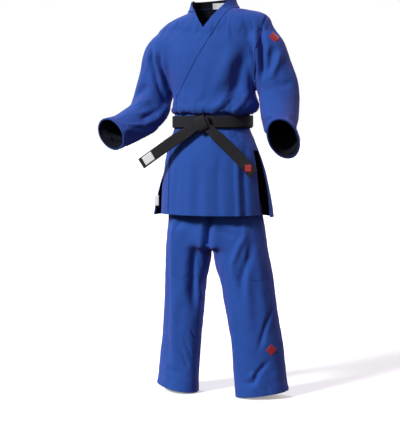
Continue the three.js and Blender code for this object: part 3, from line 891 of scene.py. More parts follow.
def settle(cloth: Cloth, held: Array, slack: float, cap: float) -> Cloth:
    """Lets slack cloth buckle by simulation between the places where a body or a seam holds it.

    Args:
        cloth: The sheet, which is moved.
        held: How firmly each vertex is held, from 0 to 1.
        slack: Share by which the cloth is larger than its form.
        cap: The furthest that a point may move, in millimetres.
    """
    data = bpy.data.meshes.new("slack")
    cloth.mesh.to_mesh(data)
    maker = put("slack", data)
    group = maker.vertex_groups.new(name="held")
    for number, weight in enumerate(held.tolist()):
        group.add([number], weight, "REPLACE")
    modifier = maker.modifiers.new("cloth", "CLOTH")
    drape = Drape()
    settings = modifier.settings
    settings.quality = drape.quality
    settings.mass = drape.mass
    settings.tension_stiffness = settings.compression_stiffness = drape.stretch
    settings.shear_stiffness = drape.shear
    settings.bending_stiffness = drape.bend
    settings.air_damping = drape.air
    settings.shrink_min = settings.shrink_max = -slack
    settings.vertex_group_mass = "held"
    settings.pin_stiffness = 1.0
    settings.effector_weights.gravity = drape.gravity
    modifier.collision_settings.use_collision = False
    modifier.collision_settings.use_self_collision = False
    modifier.point_cache.frame_start = 1
    modifier.point_cache.frame_end = drape.frames
    scene = bpy.context.scene
    for frame_number in range(1, drape.frames + 1):
        scene.frame_set(frame_number)
    made = take_mesh(maker)
    settled = np.zeros(len(made.vertices) * 3, np.float32)
    made.vertices.foreach_get("co", settled)
    points = cloth.points()
    shift = settled.reshape(-1, 3).astype(float) - points
    length = np.maximum(np.linalg.norm(shift, axis=1), 1e-9)[:, None]
    shift *= np.minimum(1, cap * MM / length)
    log.info("cloth settled by %.1f mm on average", 1000 * float(np.linalg.norm(shift, axis=1).mean()))
    bpy.data.meshes.remove(made)
    scene.frame_set(1)
    return cloth.move(points + shift)


def refine(cloth: Cloth) -> Cloth:
    """Divides each face of a sheet into four and rounds the result.

    Args:
        cloth: The sheet, which is used up.

    Returns:
        The finer sheet.
    """
    data = bpy.data.meshes.new("coarse")
    cloth.mesh.to_mesh(data)
    maker = put("coarse", data)
    divide = maker.modifiers.new("divide", "SUBSURF")
    divide.levels = divide.render_levels = 1
    return Cloth.from_mesh(take_mesh(maker))


# ---- how pieces move


@dataclass(frozen=True)
class Ride:
    """A piece that moves with one body."""

    body: str

    def attach(self, piece: Piece) -> None:
        """Makes the piece ride on the body."""
        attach(piece, self.body)


@dataclass(frozen=True)
class Bend:
    """A piece meant to bend between two bodies, with its bend between two points in metres; none of these is
    read, and the piece only has its transform baked.
    """

    first: str
    second: str
    start: Point
    end: Point

    def attach(self, piece: Piece) -> None:
        """Bakes the piece's transform into its mesh; it does not bend between the bodies."""
        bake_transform(piece)


Carrier = Ride | Bend

# ---- materials


def add_node(
    tree: bpy.types.NodeTree, kind: str, settings: dict | None = None, **inputs: object
) -> bpy.types.Node:
    """Adds a node with its settings and links.

    Args:
        tree: The node tree.
        kind: The node's type.
        settings: Attributes of the node.
        inputs: Values or output sockets by input name, with spaces written as underscores.

    Returns:
        The node.
    """
    node = tree.nodes.new(kind)
    for key, value in (settings or {}).items():
        setattr(node, key, value)
    for key, value in inputs.items():
        wanted = key.replace("_", " ")
        socket = next(s for s in node.inputs if s.name.lower() == wanted.lower() and s.enabled)
        if isinstance(value, bpy.types.NodeSocket):
            tree.links.new(value, socket)
        else:
            socket.default_value = value
    return node


class Weave(Enum):
    """The way a cotton is woven: turn of the pattern in degrees, and offset of its rows."""

    RICE_GRAIN = (0.0, 0.5)
    DIAMOND = (45.0, 0.0)
    TWILL = (63.0, 0.0)
    RIBBED = (0.0, 0.0)


@dataclass(frozen=True)
class WovenCotton:
    """Dyed heavy cotton, woven in raised grains. Its nap scatters light softly at grazing angles."""

    name: str
    light: str
    dark: str
    weave: Weave
    grain_length: float
    grain_width: float
    relief: float
    roughness: float = 0.85
    sheen: float = 0.4
    sheen_tint: str = "9a62b4"
    fade_size: float = 1000 / 14  # patches where the dye has faded, in millimetres
    lint_size: float = 1000 / 900  # loose fibres, about a millimetre apart

    def build(self) -> bpy.types.Material:
        """Makes the material.

        Returns:
            A material that reads the piece's own map of its cloth, in metres.
        """
        material = bpy.data.materials.new(self.name)
        material.use_nodes = True
        tree = material.node_tree
        shader = tree.nodes["Principled BSDF"]
        flat = add_node(tree, "ShaderNodeUVMap", {"uv_map": "cloth"}).outputs["UV"]
        turned = add_node(
            tree, "ShaderNodeMapping", Vector=flat, Rotation=(0, 0, math.radians(self.weave.value[0]))
        ).outputs["Vector"]
        grains = add_node(
            tree,
            "ShaderNodeTexBrick",
            {"offset": self.weave.value[1]},
            Vector=turned,
            Color1=(0, 0, 0, 1),
            Color2=(1, 1, 1, 1),
            Mortar=(0, 0, 0, 1),
            Scale=1.0,
            Mortar_Size=0.32 * self.grain_width * MM,
            Mortar_Smooth=1.0,
            Brick_Width=self.grain_length * MM,
            Row_Height=self.grain_width * MM,
        )
        place = add_node(tree, "ShaderNodeTexCoord").outputs["Object"]
        fade_scale, lint_scale = 1 / (self.fade_size * MM), 1 / (self.lint_size * MM)
        wear = add_node(
            tree, "ShaderNodeTexNoise", Vector=place, Scale=fade_scale, Detail=4.0, Roughness=0.6
        )
        lint = add_node(tree, "ShaderNodeTexNoise", Vector=place, Scale=lint_scale, Detail=2.0)
        shade = add_node(tree, "ShaderNodeMath", {"operation": "MULTIPLY_ADD"})
        tree.links.new(wear.outputs["Fac"], shade.inputs[0])
        shade.inputs[1].default_value = 0.9
        shade.inputs[2].default_value = 0.05
        tone = add_node(tree, "ShaderNodeMix", {"data_type": "RGBA"})
        tree.links.new(shade.outputs[0], tone.inputs["Factor"])
        tone.inputs[6].default_value = srgb(self.dark)
        tone.inputs[7].default_value = srgb(self.light)
        thread = add_node(tree, "ShaderNodeMix", {"data_type": "RGBA", "blend_type": "MULTIPLY"})
        thread.inputs["Factor"].default_value = 0.35
        tree.links.new(tone.outputs[2], thread.inputs[6])
        gaps = add_node(tree, "ShaderNodeMapRange", Value=grains.outputs["Fac"], To_Min=1.0, To_Max=0.45)
        tree.links.new(gaps.outputs[0], thread.inputs[7])
        tree.links.new(thread.outputs[2], shader.inputs["Base Color"])
        height = add_node(tree, "ShaderNodeMath", {"operation": "MULTIPLY_ADD"})
        tree.links.new(grains.outputs["Fac"], height.inputs[0])
        height.inputs[1].default_value = -1.0
        tree.links.new(lint.outputs["Fac"], height.inputs[2])
        bump = add_node(
            tree, "ShaderNodeBump", Strength=1.0, Distance=self.relief * MM, Height=height.outputs[0]
        )
        tree.links.new(bump.outputs["Normal"], shader.inputs["Normal"])
        shader.inputs["Roughness"].default_value = self.roughness
        shader.inputs["Sheen Weight"].default_value = self.sheen
        shader.inputs["Sheen Roughness"].default_value = 0.5
        shader.inputs["Sheen Tint"].default_value = srgb(self.sheen_tint)
        shader.inputs["Specular IOR Level"].default_value = 0.25
        return material


@dataclass(frozen=True)
class Embroidery:
    """Satin stitches of shiny thread, or a woven label, laid in parallel rows.

    The rows are drawn about six times as far apart as the thread is thick, so that they show.
    """

    name: str
    colour: str
    shade: str
    thread: float
    sheen: float = 0.2

    def build(self) -> bpy.types.Material:
        """Makes the material.

        Returns:
            A material with fine slanting rows of thread.
        """
        material = bpy.data.materials.new(self.name)
        material.use_nodes = True
        tree = material.node_tree
        shader = tree.nodes["Principled BSDF"]
        place = add_node(tree, "ShaderNodeTexCoord").outputs["Object"]
        rows = add_node(
            tree,
            "ShaderNodeTexWave",
            {"bands_direction": "DIAGONAL"},
            Vector=place,
            Scale=1 / (20 * self.thread * MM),
            Distortion=0.6,
            Detail=1.0,
        )
        tone = add_node(tree, "ShaderNodeMix", {"data_type": "RGBA"})
        tree.links.new(rows.outputs["Fac"], tone.inputs["Factor"])
        tone.inputs[6].default_value = srgb(self.shade)
        tone.inputs[7].default_value = srgb(self.colour)
        tree.links.new(tone.outputs[2], shader.inputs["Base Color"])
        bump = add_node(
            tree, "ShaderNodeBump", Strength=0.8, Distance=0.3 * MM, Height=rows.outputs["Fac"]
        )
        tree.links.new(bump.outputs["Normal"], shader.inputs["Normal"])
        shader.inputs["Roughness"].default_value = 0.55
        shader.inputs["Sheen Weight"].default_value = self.sheen
        return material


class Finish(Enum):
    """The uniform's finishes, each with the record's material slot."""

    # rice-grain cotton: rows of offset raised grains, which break the light into a fine pebbled surface
    JACKET = (
        WovenCotton("rice_grain_cotton", DYED_LIGHT, DYED_DARK, Weave.RICE_GRAIN, 5.2, 3.0, 0.5),
        "jacket_cloth",
    )
    # diamond-woven cotton: a slanting grid, drawn flatter than the chest's grain
    SKIRT = (
        WovenCotton("diamond_weave_cotton", DYED_LIGHT, DYED_DARK, Weave.DIAMOND, 5.0, 5.0, 0.45),
        "jacket_cloth",
    )
    # cotton drill: steep, shallow twill lines that look almost smooth from afar
    TROUSERS = (
        WovenCotton("cotton_drill", DYED_LIGHT, DYED_DARK, Weave.TWILL, 9.0, 2.0, 0.25), "trouser_cloth"
    )
    # cotton webbing, dyed black: dull and warm, with narrow ribs across the belt
    BELT = (
        WovenCotton(
            "black_cotton_webbing", "2b282c", "1d1b1f", Weave.RIBBED, 2.0, 1.2, 0.25, 0.8, 0.15, "8c8894"
        ),
        "belt_webbing",
    )
    # painted shade: the inner face of the cotton is coloured near black and without sheen, standing in for
    # the deep shade that lies inside the garment
    INNER = (
        WovenCotton("painted_shade_inner_cotton", "0f1220", "0a0c16", Weave.RICE_GRAIN, 5.2, 3.0, 0.4, 0.95, 0.0),
        "jacket_cloth",
    )
    # woven satin: a smooth off-white label with faint rows
    LABEL = (Embroidery("woven_satin_label", "e9e7e4", "cfcccd", 0.5), "woven_label")
    # satin stitch in rayon: a red that shines a little along its slanting rows
    BADGE = (Embroidery("red_satin_stitch", "b3202b", "8c1722", 0.9), "red_badge")
    # cotton sewing thread in the cloth's own blue: small ridges that hardly differ in colour
    THREAD = (Embroidery("blue_sewing_thread", "27479a", "203a80", 0.4), "jacket_cloth")
    LEG_THREAD = (Embroidery("blue_drill_thread", "27479a", "203a80", 0.4), "trouser_cloth")

    @property
    def slot(self) -> str:
        """The record's material slot."""
        return self.value[1]

    def material(self) -> bpy.types.Material:
        """The finish's material, made once."""
        recipe = self.value[0]
        return bpy.data.materials.get(recipe.name) or recipe.build()


# ---- finishing pieces


def map_cloth(data: bpy.types.Mesh, tube: Tube | None) -> None:
    """Gives a mesh its map of flat cloth, in metres.

    Args:
        data: The mesh.
        tube: The sewn tube that the cloth runs round, or None for a map along X and Z.
    """
    points = np.zeros(len(data.vertices) * 3, np.float32)
    data.vertices.foreach_get("co", points)
    points = points.reshape(-1, 3).astype(float)
    corners = np.zeros(len(data.loops), np.int32)
    data.loops.foreach_get("vertex_index", corners)
    if tube is None:
        flat = points[:, [0, 2]][corners]
    else:
        chart, once = tube.chart(points)
        flat = chart[corners]
        starts, totals = (np.zeros(len(data.polygons), np.int32) for _ in range(2))
        data.polygons.foreach_get("loop_start", starts)
        data.polygons.foreach_get("loop_total", totals)
        first = np.repeat(flat[starts, 0], totals)
        flat[:, 0] -= once * np.round((flat[:, 0] - first) / once)
    layer = data.uv_layers.new(name="cloth")
    layer.data.foreach_set("uv", flat.astype(np.float32).ravel())


def place_piece(
    piece: Piece, finish: Finish, carrier: Carrier, nodes: Sequence[str] = ()
) -> Piece:
    """Gives a made object its finish, its body and the CAD nodes that it stands for.

    Args:
        piece: The object, with its place in its mesh.
        finish: Its finish.
        carrier: How it moves.
        nodes: CAD nodes that it replaces.

    Returns:
        The same object.
    """
    if not piece.data.materials:
        piece.data.materials.append(finish.material())
    carrier.attach(piece)
    if nodes:
        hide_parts(*nodes)
    log.info("%s: %d faces", piece.name, len(piece.data.polygons))
    return piece


def sew_piece(
    name: str,
    cloth: Cloth,
    thickness: float,
    finish: Finish,
    carrier: Carrier,
    nodes: Sequence[str] = (),
    tube: Tube | None = None,
) -> Piece:
    """Turns a sheet into a piece of cloth with a thickness.

    Args:
        name: The piece's name.
        cloth: The sheet, at the outer face of the cloth.
        thickness: Thickness of the cloth, inwards, in millimetres.
        finish: Its finish.
        carrier: How it moves.
        nodes: CAD nodes that it replaces.
        tube: The sewn tube that the weave follows.

    Returns:
        The piece.
    """
    data = bpy.data.meshes.new(name)
    cloth.mesh.to_mesh(data)
    map_cloth(data, tube)
    data.shade_smooth()
    piece = put(name, data)
    wall = piece.modifiers.new("wall", "SOLIDIFY")
    wall.thickness = thickness * MM
    wall.offset = -1.0
    # painted shade: the inner faces of jacket, skirt and trouser cloth get the near-black inner cotton, which
    # stands in for the shade inside the garment
    if finish in (Finish.JACKET, Finish.SKIRT, Finish.TROUSERS):
        data.materials.append(finish.material())
        data.materials.append(Finish.INNER.material())
        wall.material_offset = 1
    return place_piece(piece, finish, carrier, nodes)


def sew_badge(cloth: Cloth, node: str, side: float, carrier: Carrier) -> Piece:
    """Sews an embroidered diamond onto a sheet, where a CAD node lies.

    Args:
        cloth: The sheet that it is sewn to.
        node: The CAD node that lies there, and that the badge stands for.
        side: Length of its side in millimetres.
        carrier: How it moves.

    Returns:
        The piece.
    """
    low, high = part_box(node)
    middle, facing, _, _ = cloth.tree().find_nearest((low + high) / 2)
    across = Vector((0, 0, 1)).cross(facing).normalized()
    up = facing.cross(across)
    edges = []
    for a in (-1, 1):
        for b in (-1, 1):
            normal = (across * a + up * b).normalized()
            edges.append(Plane(tuple(middle + normal * side / 2 * MM), tuple(normal)))
    face = Plane(tuple(middle), tuple(facing))
    patch = cloth.copy().cut(*edges)
    patch.keep(
        lambda p: np.all([edge.side(p) < 0 for edge in edges], axis=0) & (np.abs(face.side(p)) < 0.03)
    )
    return sew_piece(f"{node}_patch", patch.raised(0.9), 0.8, Finish.BADGE, carrier, (node,))


class StitchRows:
    """Rows of sewing stitches, laid along lines by Geometry Nodes."""

    def __init__(self, name: str, finish: Finish, pitch: float = 4.0, length: float = 3.0) -> None:
        """Starts an empty set of rows.

        Args:
            name: Name of the piece.
            finish: Finish of the thread.
            pitch: Distance from stitch to stitch, in millimetres.
            length: Length of a stitch, in millimetres.
        """
        self.name, self.finish = name, finish
        self.pitch, self.length = pitch * MM, length * MM
        self.points: list = []
        self.outs: list = []
        self.edges: list = []

    def add(self, line: tuple[list, list, list]) -> "StitchRows":
        """Adds a line of points, outward directions and edges."""
        points, outs, edges = line
        start = len(self.points)
        self.points += points
        self.outs += outs
        self.edges += [(a + start, b + start) for a, b in edges]
        return self

    @staticmethod
    def tree() -> bpy.types.NodeTree:
        """The node tree that lays stitches along edges, made once.

        Returns:
            A tree with inputs for the pitch, the stitch's length, its thickness and its material.
        """
        known = bpy.data.node_groups.get("stitches_along_lines")
        if known:
            return known
        tree = bpy.data.node_groups.new("stitches_along_lines", "GeometryNodeTree")
        for name, kind in (
            ("Lines", "NodeSocketGeometry"),
            ("Pitch", "NodeSocketFloat"),
            ("Stitch Length", "NodeSocketFloat"),
            ("Thread Thickness", "NodeSocketFloat"),
            ("Material", "NodeSocketMaterial"),
        ):
            tree.interface.new_socket(name, in_out="INPUT", socket_type=kind)
        tree.interface.new_socket("Stitches", in_out="OUTPUT", socket_type="NodeSocketGeometry")
        given = tree.nodes.new("NodeGroupInput").outputs
        curves = add_node(tree, "GeometryNodeMeshToCurve", Mesh=given["Lines"])
        spaced = add_node(
            tree,
            "GeometryNodeResampleCurve",
            {"mode": "LENGTH"},
            Curve=curves.outputs["Curve"],
            Length=given["Pitch"],
        )
        ball = add_node(tree, "GeometryNodeMeshUVSphere", Segments=6, Rings=4, Radius=0.5)
        size = add_node(
            tree,
            "ShaderNodeCombineXYZ",
            X=given["Stitch Length"],
            Y=given["Thread Thickness"],
            Z=given["Thread Thickness"],
        )
        stitch = add_node(
            tree, "GeometryNodeTransform", Geometry=ball.outputs["Mesh"], Scale=size.outputs[0]
        )
        out = add_node(tree, "GeometryNodeInputNamedAttribute", {"data_type": "FLOAT_VECTOR"}, Name="out")
        tangent = add_node(tree, "GeometryNodeInputTangent")
        turn = add_node(
            tree,
            "FunctionNodeAxesToRotation",
            {"primary_axis": "X", "secondary_axis": "Z"},
            Primary_Axis=tangent.outputs[0],
            Secondary_Axis=out.outputs["Attribute"],
        )
        laid = add_node(
            tree,
            "GeometryNodeInstanceOnPoints",
            Points=spaced.outputs["Curve"],
            Instance=stitch.outputs["Geometry"],
            Rotation=turn.outputs[0],
        )
        real = add_node(tree, "GeometryNodeRealizeInstances", Geometry=laid.outputs["Instances"])
        dressed = add_node(
            tree, "GeometryNodeSetMaterial", Geometry=real.outputs["Geometry"], Material=given["Material"]
        )
        result = tree.nodes.new("NodeGroupOutput")
        tree.links.new(dressed.outputs["Geometry"], result.inputs["Stitches"])
        return tree

    def sew(self, carrier: Carrier, thickness: float = 0.9) -> Piece | None:
        """Makes the rows into one piece.

        Args:
            carrier: How the piece moves.
            thickness: Thickness of the thread, in millimetres.

        Returns:
            The piece, or None where there is no row.
        """
        if not self.edges:
            return None
        lines = bpy.data.meshes.new(self.name)
        lines.from_pydata(self.points, self.edges, [])
        outs = lines.attributes.new("out", "FLOAT_VECTOR", "POINT")
        outs.data.foreach_set("vector", np.array(self.outs, np.float32).ravel())
        maker = put(self.name, lines)
        modifier = maker.modifiers.new("stitches", "NODES")
        tree = self.tree()
        modifier.node_group = tree
        values = {
            "Pitch": self.pitch,
            "Stitch Length": self.length,
            "Thread Thickness": thickness * MM,
            "Material": self.finish.material(),
        }
        for item in tree.interface.items_tree:
            if item.name in values:
                modifier[item.identifier] = values[item.name]
        made = take_mesh(maker)
        made.shade_smooth()
        piece = put(self.name, made)
        return place_piece(piece, self.finish, carrier)


# ---- jacket

JACKET_FOLDS = (
    # the left sleeve's head, and the shaded side of the chest beside it
    *on(
        Face.FRONT,
        (((185, 355), (205, 270), (206, 195), (200, 125)), 12, -19),
        (((165, 330), (188, 265), (192, 200), (188, 130)), 9, 8),
        (((146, 300), (168, 262), (178, 205), (178, 130)), 9, -11),
        (((140, 372), (152, 315), (146, 283)), 12, -4),
        (((152, 290), (138, 215), (118, 140), (98, 62)), 30, -15),
        (((122, 275), (90, 205), (66, 150), (42, 75)), 26, 7),
        # the left sleeve
        (((242, 275), (236, 212), (225, 150)), 17, -12),
        (((268, 262), (258, 212), (230, 140)), 13, 9),
        (((242, 138), (285, 128), (318, 150)), 14, -4),
        # the right sleeve's head
        (((-228, 300), (-224, 230), (-205, 160), (-184, 100), (-176, 55)), 11, -15),
        (((-208, 285), (-205, 228), (-182, 160), (-172, 118)), 9, 8),
        (((-188, 275), (-184, 215), (-170, 160), (-170, 115)), 9, -11),
        # the right elbow
        (((-305, 92), (-255, 120), (-225, 115)), 17, -10),
        (((-285, 60), (-250, 75), (-215, 75)), 15, 7),
        (((-245, 5), (-205, 35), (-180, 40)), 13, -10),
        (((-270, -20), (-225, -5)), 14, 3),
        # the cloth that blouses over the belt
        (((25, 40), (70, 62), (102, 112)), 10, 4),
        (((48, 28), (84, 50), (118, 92)), 8, -3.5),
        (((100, 24), (136, 64), (156, 112)), 9, 4),
    ),
    *gathers(Face.FRONT, (-138, -112, -84, -58, -26, 8, 40, 76, 104, 132), 22, 62, 3.2),
    *gathers(Face.BACK, (-130, -104, -80, -52, -24, 6, 34, 66, 92, 124), 24, 80, 3.4),
    # the back: folds from the shoulder blades, and behind both sleeve heads
    *on(
        Face.BACK,
        (((-196, 330), (-186, 250), (-172, 150)), 12, -9),
        (((-170, 300), (-160, 220), (-150, 140)), 14, 5),
        (((200, 340), (192, 255), (178, 155)), 12, -9),
        (((174, 310), (164, 225), (152, 145)), 14, 5),
        (((-90, 290), (-60, 190), (-40, 70)), 24, 5),
        (((-40, 250), (-8, 150), (4, 40)), 18, -4),
        (((96, 300), (70, 190), (44, 60)), 24, 5),
        (((-300, 60), (-262, 95), (-225, 90)), 15, -6),
        (((240, 100), (285, 85), (325, 100)), 15, -6),
    ),
)
SKIRT_FOLDS = (
    *on(
        Face.FRONT,
        (((122, -50), (125, -160), (134, -334)), 9, 5, 0.5, True),
        (((146, -50), (148, -200), (156, -334)), 12, -5, 0.5, True),
        (((74, -60), (62, -200), (68, -334)), 14, -3, 0.5, True),
        (((16, -110), (20, -220), (24, -334)), 16, 3, 0.6, True),
        (((-12, -110), (-10, -220), (-8, -334)), 15, -2.6, 0.6, True),
        (((-44, -100), (-42, -220), (-44, -334)), 16, 3, 0.6, True),
        (((-92, -90), (-96, -220), (-104, -334)), 15, -3, 0.6, True),
    ),
    *gathers(Face.FRONT, (-120, -92, -70, -44, 28, 52, 80, 108), -32, -78, 2.6),
    *gathers(Face.BACK, (-122, -98, -70, -40, -12, 16, 44, 76, 104, 130), -32, -90, 2.6),
    *on(
        Face.BACK,
        (((-110, -70), (-128, -200), (-140, -340)), 16, 6, 0.6, True),
        (((-60, -90), (-66, -210), (-74, -340)), 16, -5, 0.6, True),
        (((-6, -80), (-10, -210), (-12, -340)), 18, 5, 0.6, True),
        (((52, -90), (58, -210), (66, -340)), 16, -5, 0.6, True),
        (((108, -70), (120, -200), (134, -340)), 16, 6, 0.6, True),
    ),
)
TROUSER_FOLDS = (
    # the right leg
    *on(
        Face.FRONT,
        (((-40, -410), (-50, -530), (-58, -610), (-45, -710)), 20, -17),
        (((-118, -590), (-136, -760), (-126, -940)), 20, 8),
        (((-96, -785), (-64, -865)), 8, -4),
        (((-68, -755), (-48, -815)), 7, -3.5),
        (((-102, -842), (-74, -915)), 8, -4),
        (((-170, -905), (-110, -930)), 11, -3),
        # between the legs
        (((22, -300), (15, -380), (6, -462)), 15, -26, 0.2),
        # the left leg
        (((160, -380), (128, -450), (104, -510), (104, -580)), 12, 7),
        (((172, -410), (164, -485), (136, -565), (145, -645)), 15, -9),
        (((40, -355), (140, -365)), 12, -3),
        (((45, -385), (120, -412)), 12, -3),
        (((240, -650), (206, -780), (190, -840)), 10, -6),
        (((125, -942), (178, -940), (192, -905), (236, -850)), 10, -7),
        (((160, -922), (184, -898)), 9, 3),
        (((95, -600), (100, -760), (118, -940)), 16, 4),
    ),
    # the seat, and behind the knees
    *on(
        Face.BACK,
        (((16, -425), (70, -400), (150, -385)), 14, -6),
        (((-16, -425), (-66, -402), (-140, -390)), 14, -6),
        (((60, -610), (120, -640), (190, -612)), 12, -6),
        (((70, -660), (130, -680), (180, -668)), 12, 4),
        (((-180, -605), (-118, -640), (-50, -618)), 12, -6),
        (((-170, -668), (-118, -682), (-64, -664)), 12, 4),
        (((110, -700), (140, -820), (160, -960)), 18, -5),
        (((-96, -700), (-112, -820), (-116, -960)), 18, -5),
    ),
)


@dataclass
class Jacket:
    """The jacket above the belt: body, crossed fronts, lapels with collar, and sleeves."""

    mesh_size: float = 8.0
    armhole_low: dict = field(default_factory=lambda: {Side.LEFT: (172, 160), Side.RIGHT: (-168, 150)})
    armhole_high: dict = field(default_factory=lambda: {Side.LEFT: (200, 370), Side.RIGHT: (-192, 350)})
    armpit: dict = field(default_factory=lambda: {Side.LEFT: (177, 190), Side.RIGHT: (-176, 174)})
    underarm_z: float = 150.0
    hang_x: float = 183.0
    flank_ease: float = 10.0  # how far outside the torso the cloth still belongs to the body
    collar_tuck: float = 9.0  # how far the body's cloth runs up inside the collar
    slack: float = 0.03
    slack_cap: float = 11.0
    loose_hold: float = 0.02
    shoulder_hold: float = 0.5
    shoulder_z: float = 300.0
    shoulder_fade: float = 90.0
    seam_hold: float = 12.0  # width of the strips held at the collar and the cuffs
    belt_hold_z: float = 18.0
    cuff_hold_z: float = 60.0
    front_y: float = 22.0

    def armhole(self, side: Side) -> Plane:
        """The plane of an armhole seam, looking outwards."""
        plane = front_plane(self.armhole_low[side], self.armhole_high[side])
        normal = tuple(side.value * n for n in plane.normal)
        return Plane(plane.point, normal)

    def in_sleeve(self, side: Side, points: Array) -> Array:
        """Whether points lie on a sleeve, past its armhole seam."""
        rows = TORSO.sample(np.linspace(0, TORSO.last, 200))
        flank = np.interp(points[:, 2], rows[:, 2], side.value * rows[:, 0] + rows[:, 3])
        hangs = side.value * points[:, 0] > np.minimum(self.hang_x * MM, flank + self.flank_ease * MM)
        outside = self.armhole(side).side(points) > 0
        return outside & (hangs | (points[:, 2] > self.underarm_z * MM))

    def on_body(self, points: Array) -> Array:
        """Whether points lie on the body of the jacket."""
        return ~(self.in_sleeve(Side.LEFT, points) | self.in_sleeve(Side.RIGHT, points))

    def collar_plane(self, rise: float) -> Plane:
        """The plane of the collar's seam, or one parallel to its top edge, at a rise from 0 to 1."""
        row = COLLAR.sample(rise)[0]
        return Plane(tuple(row[:3]), (-row[6], -row[7], 1.0))

    def held(self, points: Array) -> Array:
        """How firmly the neck, the shoulders, the belt and the cuffs hold the cloth.

        Args:
            points: Rows of x, y, z in metres.

        Returns:
            One value from 0 to 1 for each row.
        """
        body = np.abs(points[:, 0]) < self.hang_x * MM
        held = np.full(len(points), self.loose_hold)
        rise = (points[:, 2] - self.shoulder_z * MM) / (self.shoulder_fade * MM)
        held = np.maximum(held, np.clip(rise, 0, 1) * self.shoulder_hold)
        held[self.collar_plane(0).side(points) > -self.seam_hold * MM] = 1
        held[body & (points[:, 2] < self.belt_hold_z * MM)] = 1
        for side in Side:
            mouth = SLEEVES[side].plane(SLEEVES[side].last).side(points)
            near = (mouth > -self.seam_hold * MM) & (side.value * points[:, 0] > self.hang_x * MM)
            held[near & (points[:, 2] < self.cuff_hold_z * MM)] = 1
        return held

    def surface(self) -> Cloth:
        """The creased surface of the whole jacket, open at the neck, the cuffs and the belt.

        Returns:
            The surface of the right front, the back, the collar and the sleeves.
        """
        solids = [
            TORSO.solid(96, 60, 0.03, 0.0),
            COLLAR.solid(72, 6, 0.02, 0.03),
            *(SLEEVES[side].solid(64, 60, 0.0, 0.03) for side in Side),
        ]
        form = fuse("jacket_form", solids, self.mesh_size, 5)
        cloth = refine(settle(form, self.held(form.points()), self.slack, self.slack_cap))
        cloth = crease(cloth, JACKET_FOLDS, 1.1, 3)
        mouths = [SLEEVES[side].plane(SLEEVES[side].last) for side in Side]
        top = self.collar_plane(1)
        low = level(BELT_COVER_Z)
        cloth.cut(top, low, *mouths, self.armhole(Side.LEFT), self.armhole(Side.RIGHT))

        def inside(middles: Array) -> Array:
            """Whether faces are left once the ends are cut off."""
            kept = top.side(middles) < 0
            kept &= (low.side(middles) > 0) | (np.abs(middles[:, 0]) > self.hang_x * MM)
            for side, mouth in zip(Side, mouths):
                beyond = mouth.side(middles) > 0
                kept &= ~(beyond & (side.value * middles[:, 0] > self.hang_x * MM))
            return kept

        return cloth.keep(inside)

    def build(self) -> None:
        """Builds every piece of the jacket above the belt."""
        whole = self.surface()
        self.build_body(whole)
        for side in Side:
            self.build_sleeve(whole, side)

    def build_body(self, whole: Cloth) -> None:
        """Builds the body, the left front over it, and the lapels with the collar.

        Args:
            whole: The surface of the whole jacket.
        """
        body = whole.copy().keep(self.on_body)
        neck = [lapel_plane(side, 0, True) for side in (Side.LEFT, Side.RIGHT)]
        edge_left, edge_right = (lapel_plane(side, 0) for side in (Side.LEFT, Side.RIGHT))
        seam_left, seam_right = (lapel_plane(side, LAPEL_WIDTH) for side in (Side.LEFT, Side.RIGHT))
        seam = self.collar_plane(0)
        tuck = seam.moved(self.collar_tuck * MM)
        turn_edge = Plane((self.edge_x(), 0, 0), (1, 0, 0))
        turn_seam = Plane((self.edge_x() + LAPEL_WIDTH * MM, 0, 0), (1, 0, 0))
        turn = level(LAPEL_TURN_Z * MM)
        side_seam = Plane((0, SIDE_SEAM_Y, 0), (0, 1, 0))
        v_level = level(V_BOTTOM[1] * MM)
        body.cut(*neck, edge_left, edge_right, seam_left, seam_right, seam, tuck, turn, side_seam, v_level)
        front_y = self.front_y * MM

        def in_front(p: Array) -> Array:
            """Whether points lie in the front half."""
            return p[:, 1] < front_y

        def past_left_edge(p: Array) -> Array:
            """Whether points lie to the left of the left lapel's free edge."""
            slanted = np.where(
                v_level.side(p) > 0, neck[0].side(p) > 0, edge_left.side(p) > 0
            )
            return np.where(turn.side(p) > 0, slanted, turn_edge.side(p) > 0)

        def past_left_seam(p: Array) -> Array:
            """Whether points lie to the left of the left lapel's seam."""
            return np.where(turn.side(p) > 0, seam_left.side(p) > 0, turn_seam.side(p) > 0)

        def open_neck(p: Array) -> Array:
            """Whether points lie in the opening of the neck."""
            between = (neck[0].side(p) < 0) & (neck[1].side(p) > 0)
            return (v_level.side(p) > 0) & between & in_front(p)

        def on_collar(p: Array) -> Array:
            """Whether points lie above the collar's seam."""
            return seam.side(p) > 0

        under = body.copy().keep(lambda p: ~open_neck(p) & (tuck.side(p) < 0))
        ride = Ride("jacket")
        sew_piece(
            "jacket_body",
            under,
            JACKET_CLOTH,
            Finish.JACKET,
            ride,
            ("jacket_back", "jacket_front_right", "shoulder_lining"),
            TORSO,
        )
        over = body.copy().cut(turn_seam).keep(
            lambda p: past_left_seam(p) & (side_seam.side(p) < 0) & ~on_collar(p)
        )
        over = over.raised(JACKET_CLOTH + LAYER_GAP)
        nodes = ("jacket_front_left",)
        sew_piece("jacket_front_over", over, JACKET_CLOTH, Finish.JACKET, ride, nodes, TORSO)

        band = body.copy().cut(turn_edge, turn_seam).keep(
            lambda p: (on_collar(p) & ~open_neck(p))
            | (in_front(p) & past_left_edge(p) & ~past_left_seam(p))
        )
        band = band.raised(LAPEL_THICKNESS + LAYER_GAP)
        nodes = ("lapel_left", "collar_band")
        sew_piece("lapel_and_collar", band, LAPEL_THICKNESS, Finish.JACKET, ride, nodes, TORSO)
        below = body.copy().keep(
            lambda p: in_front(p)
            & ~on_collar(p)
            & (seam_right.side(p) > 0)
            & np.where(v_level.side(p) > 0, neck[1].side(p) < 0, edge_right.side(p) < 0)
            & (p[:, 2] > 0.2)
        )
        below = below.raised(1.6)
        sew_piece("lapel_under", below, 1.5, Finish.JACKET, ride, ("lapel_right",), TORSO)

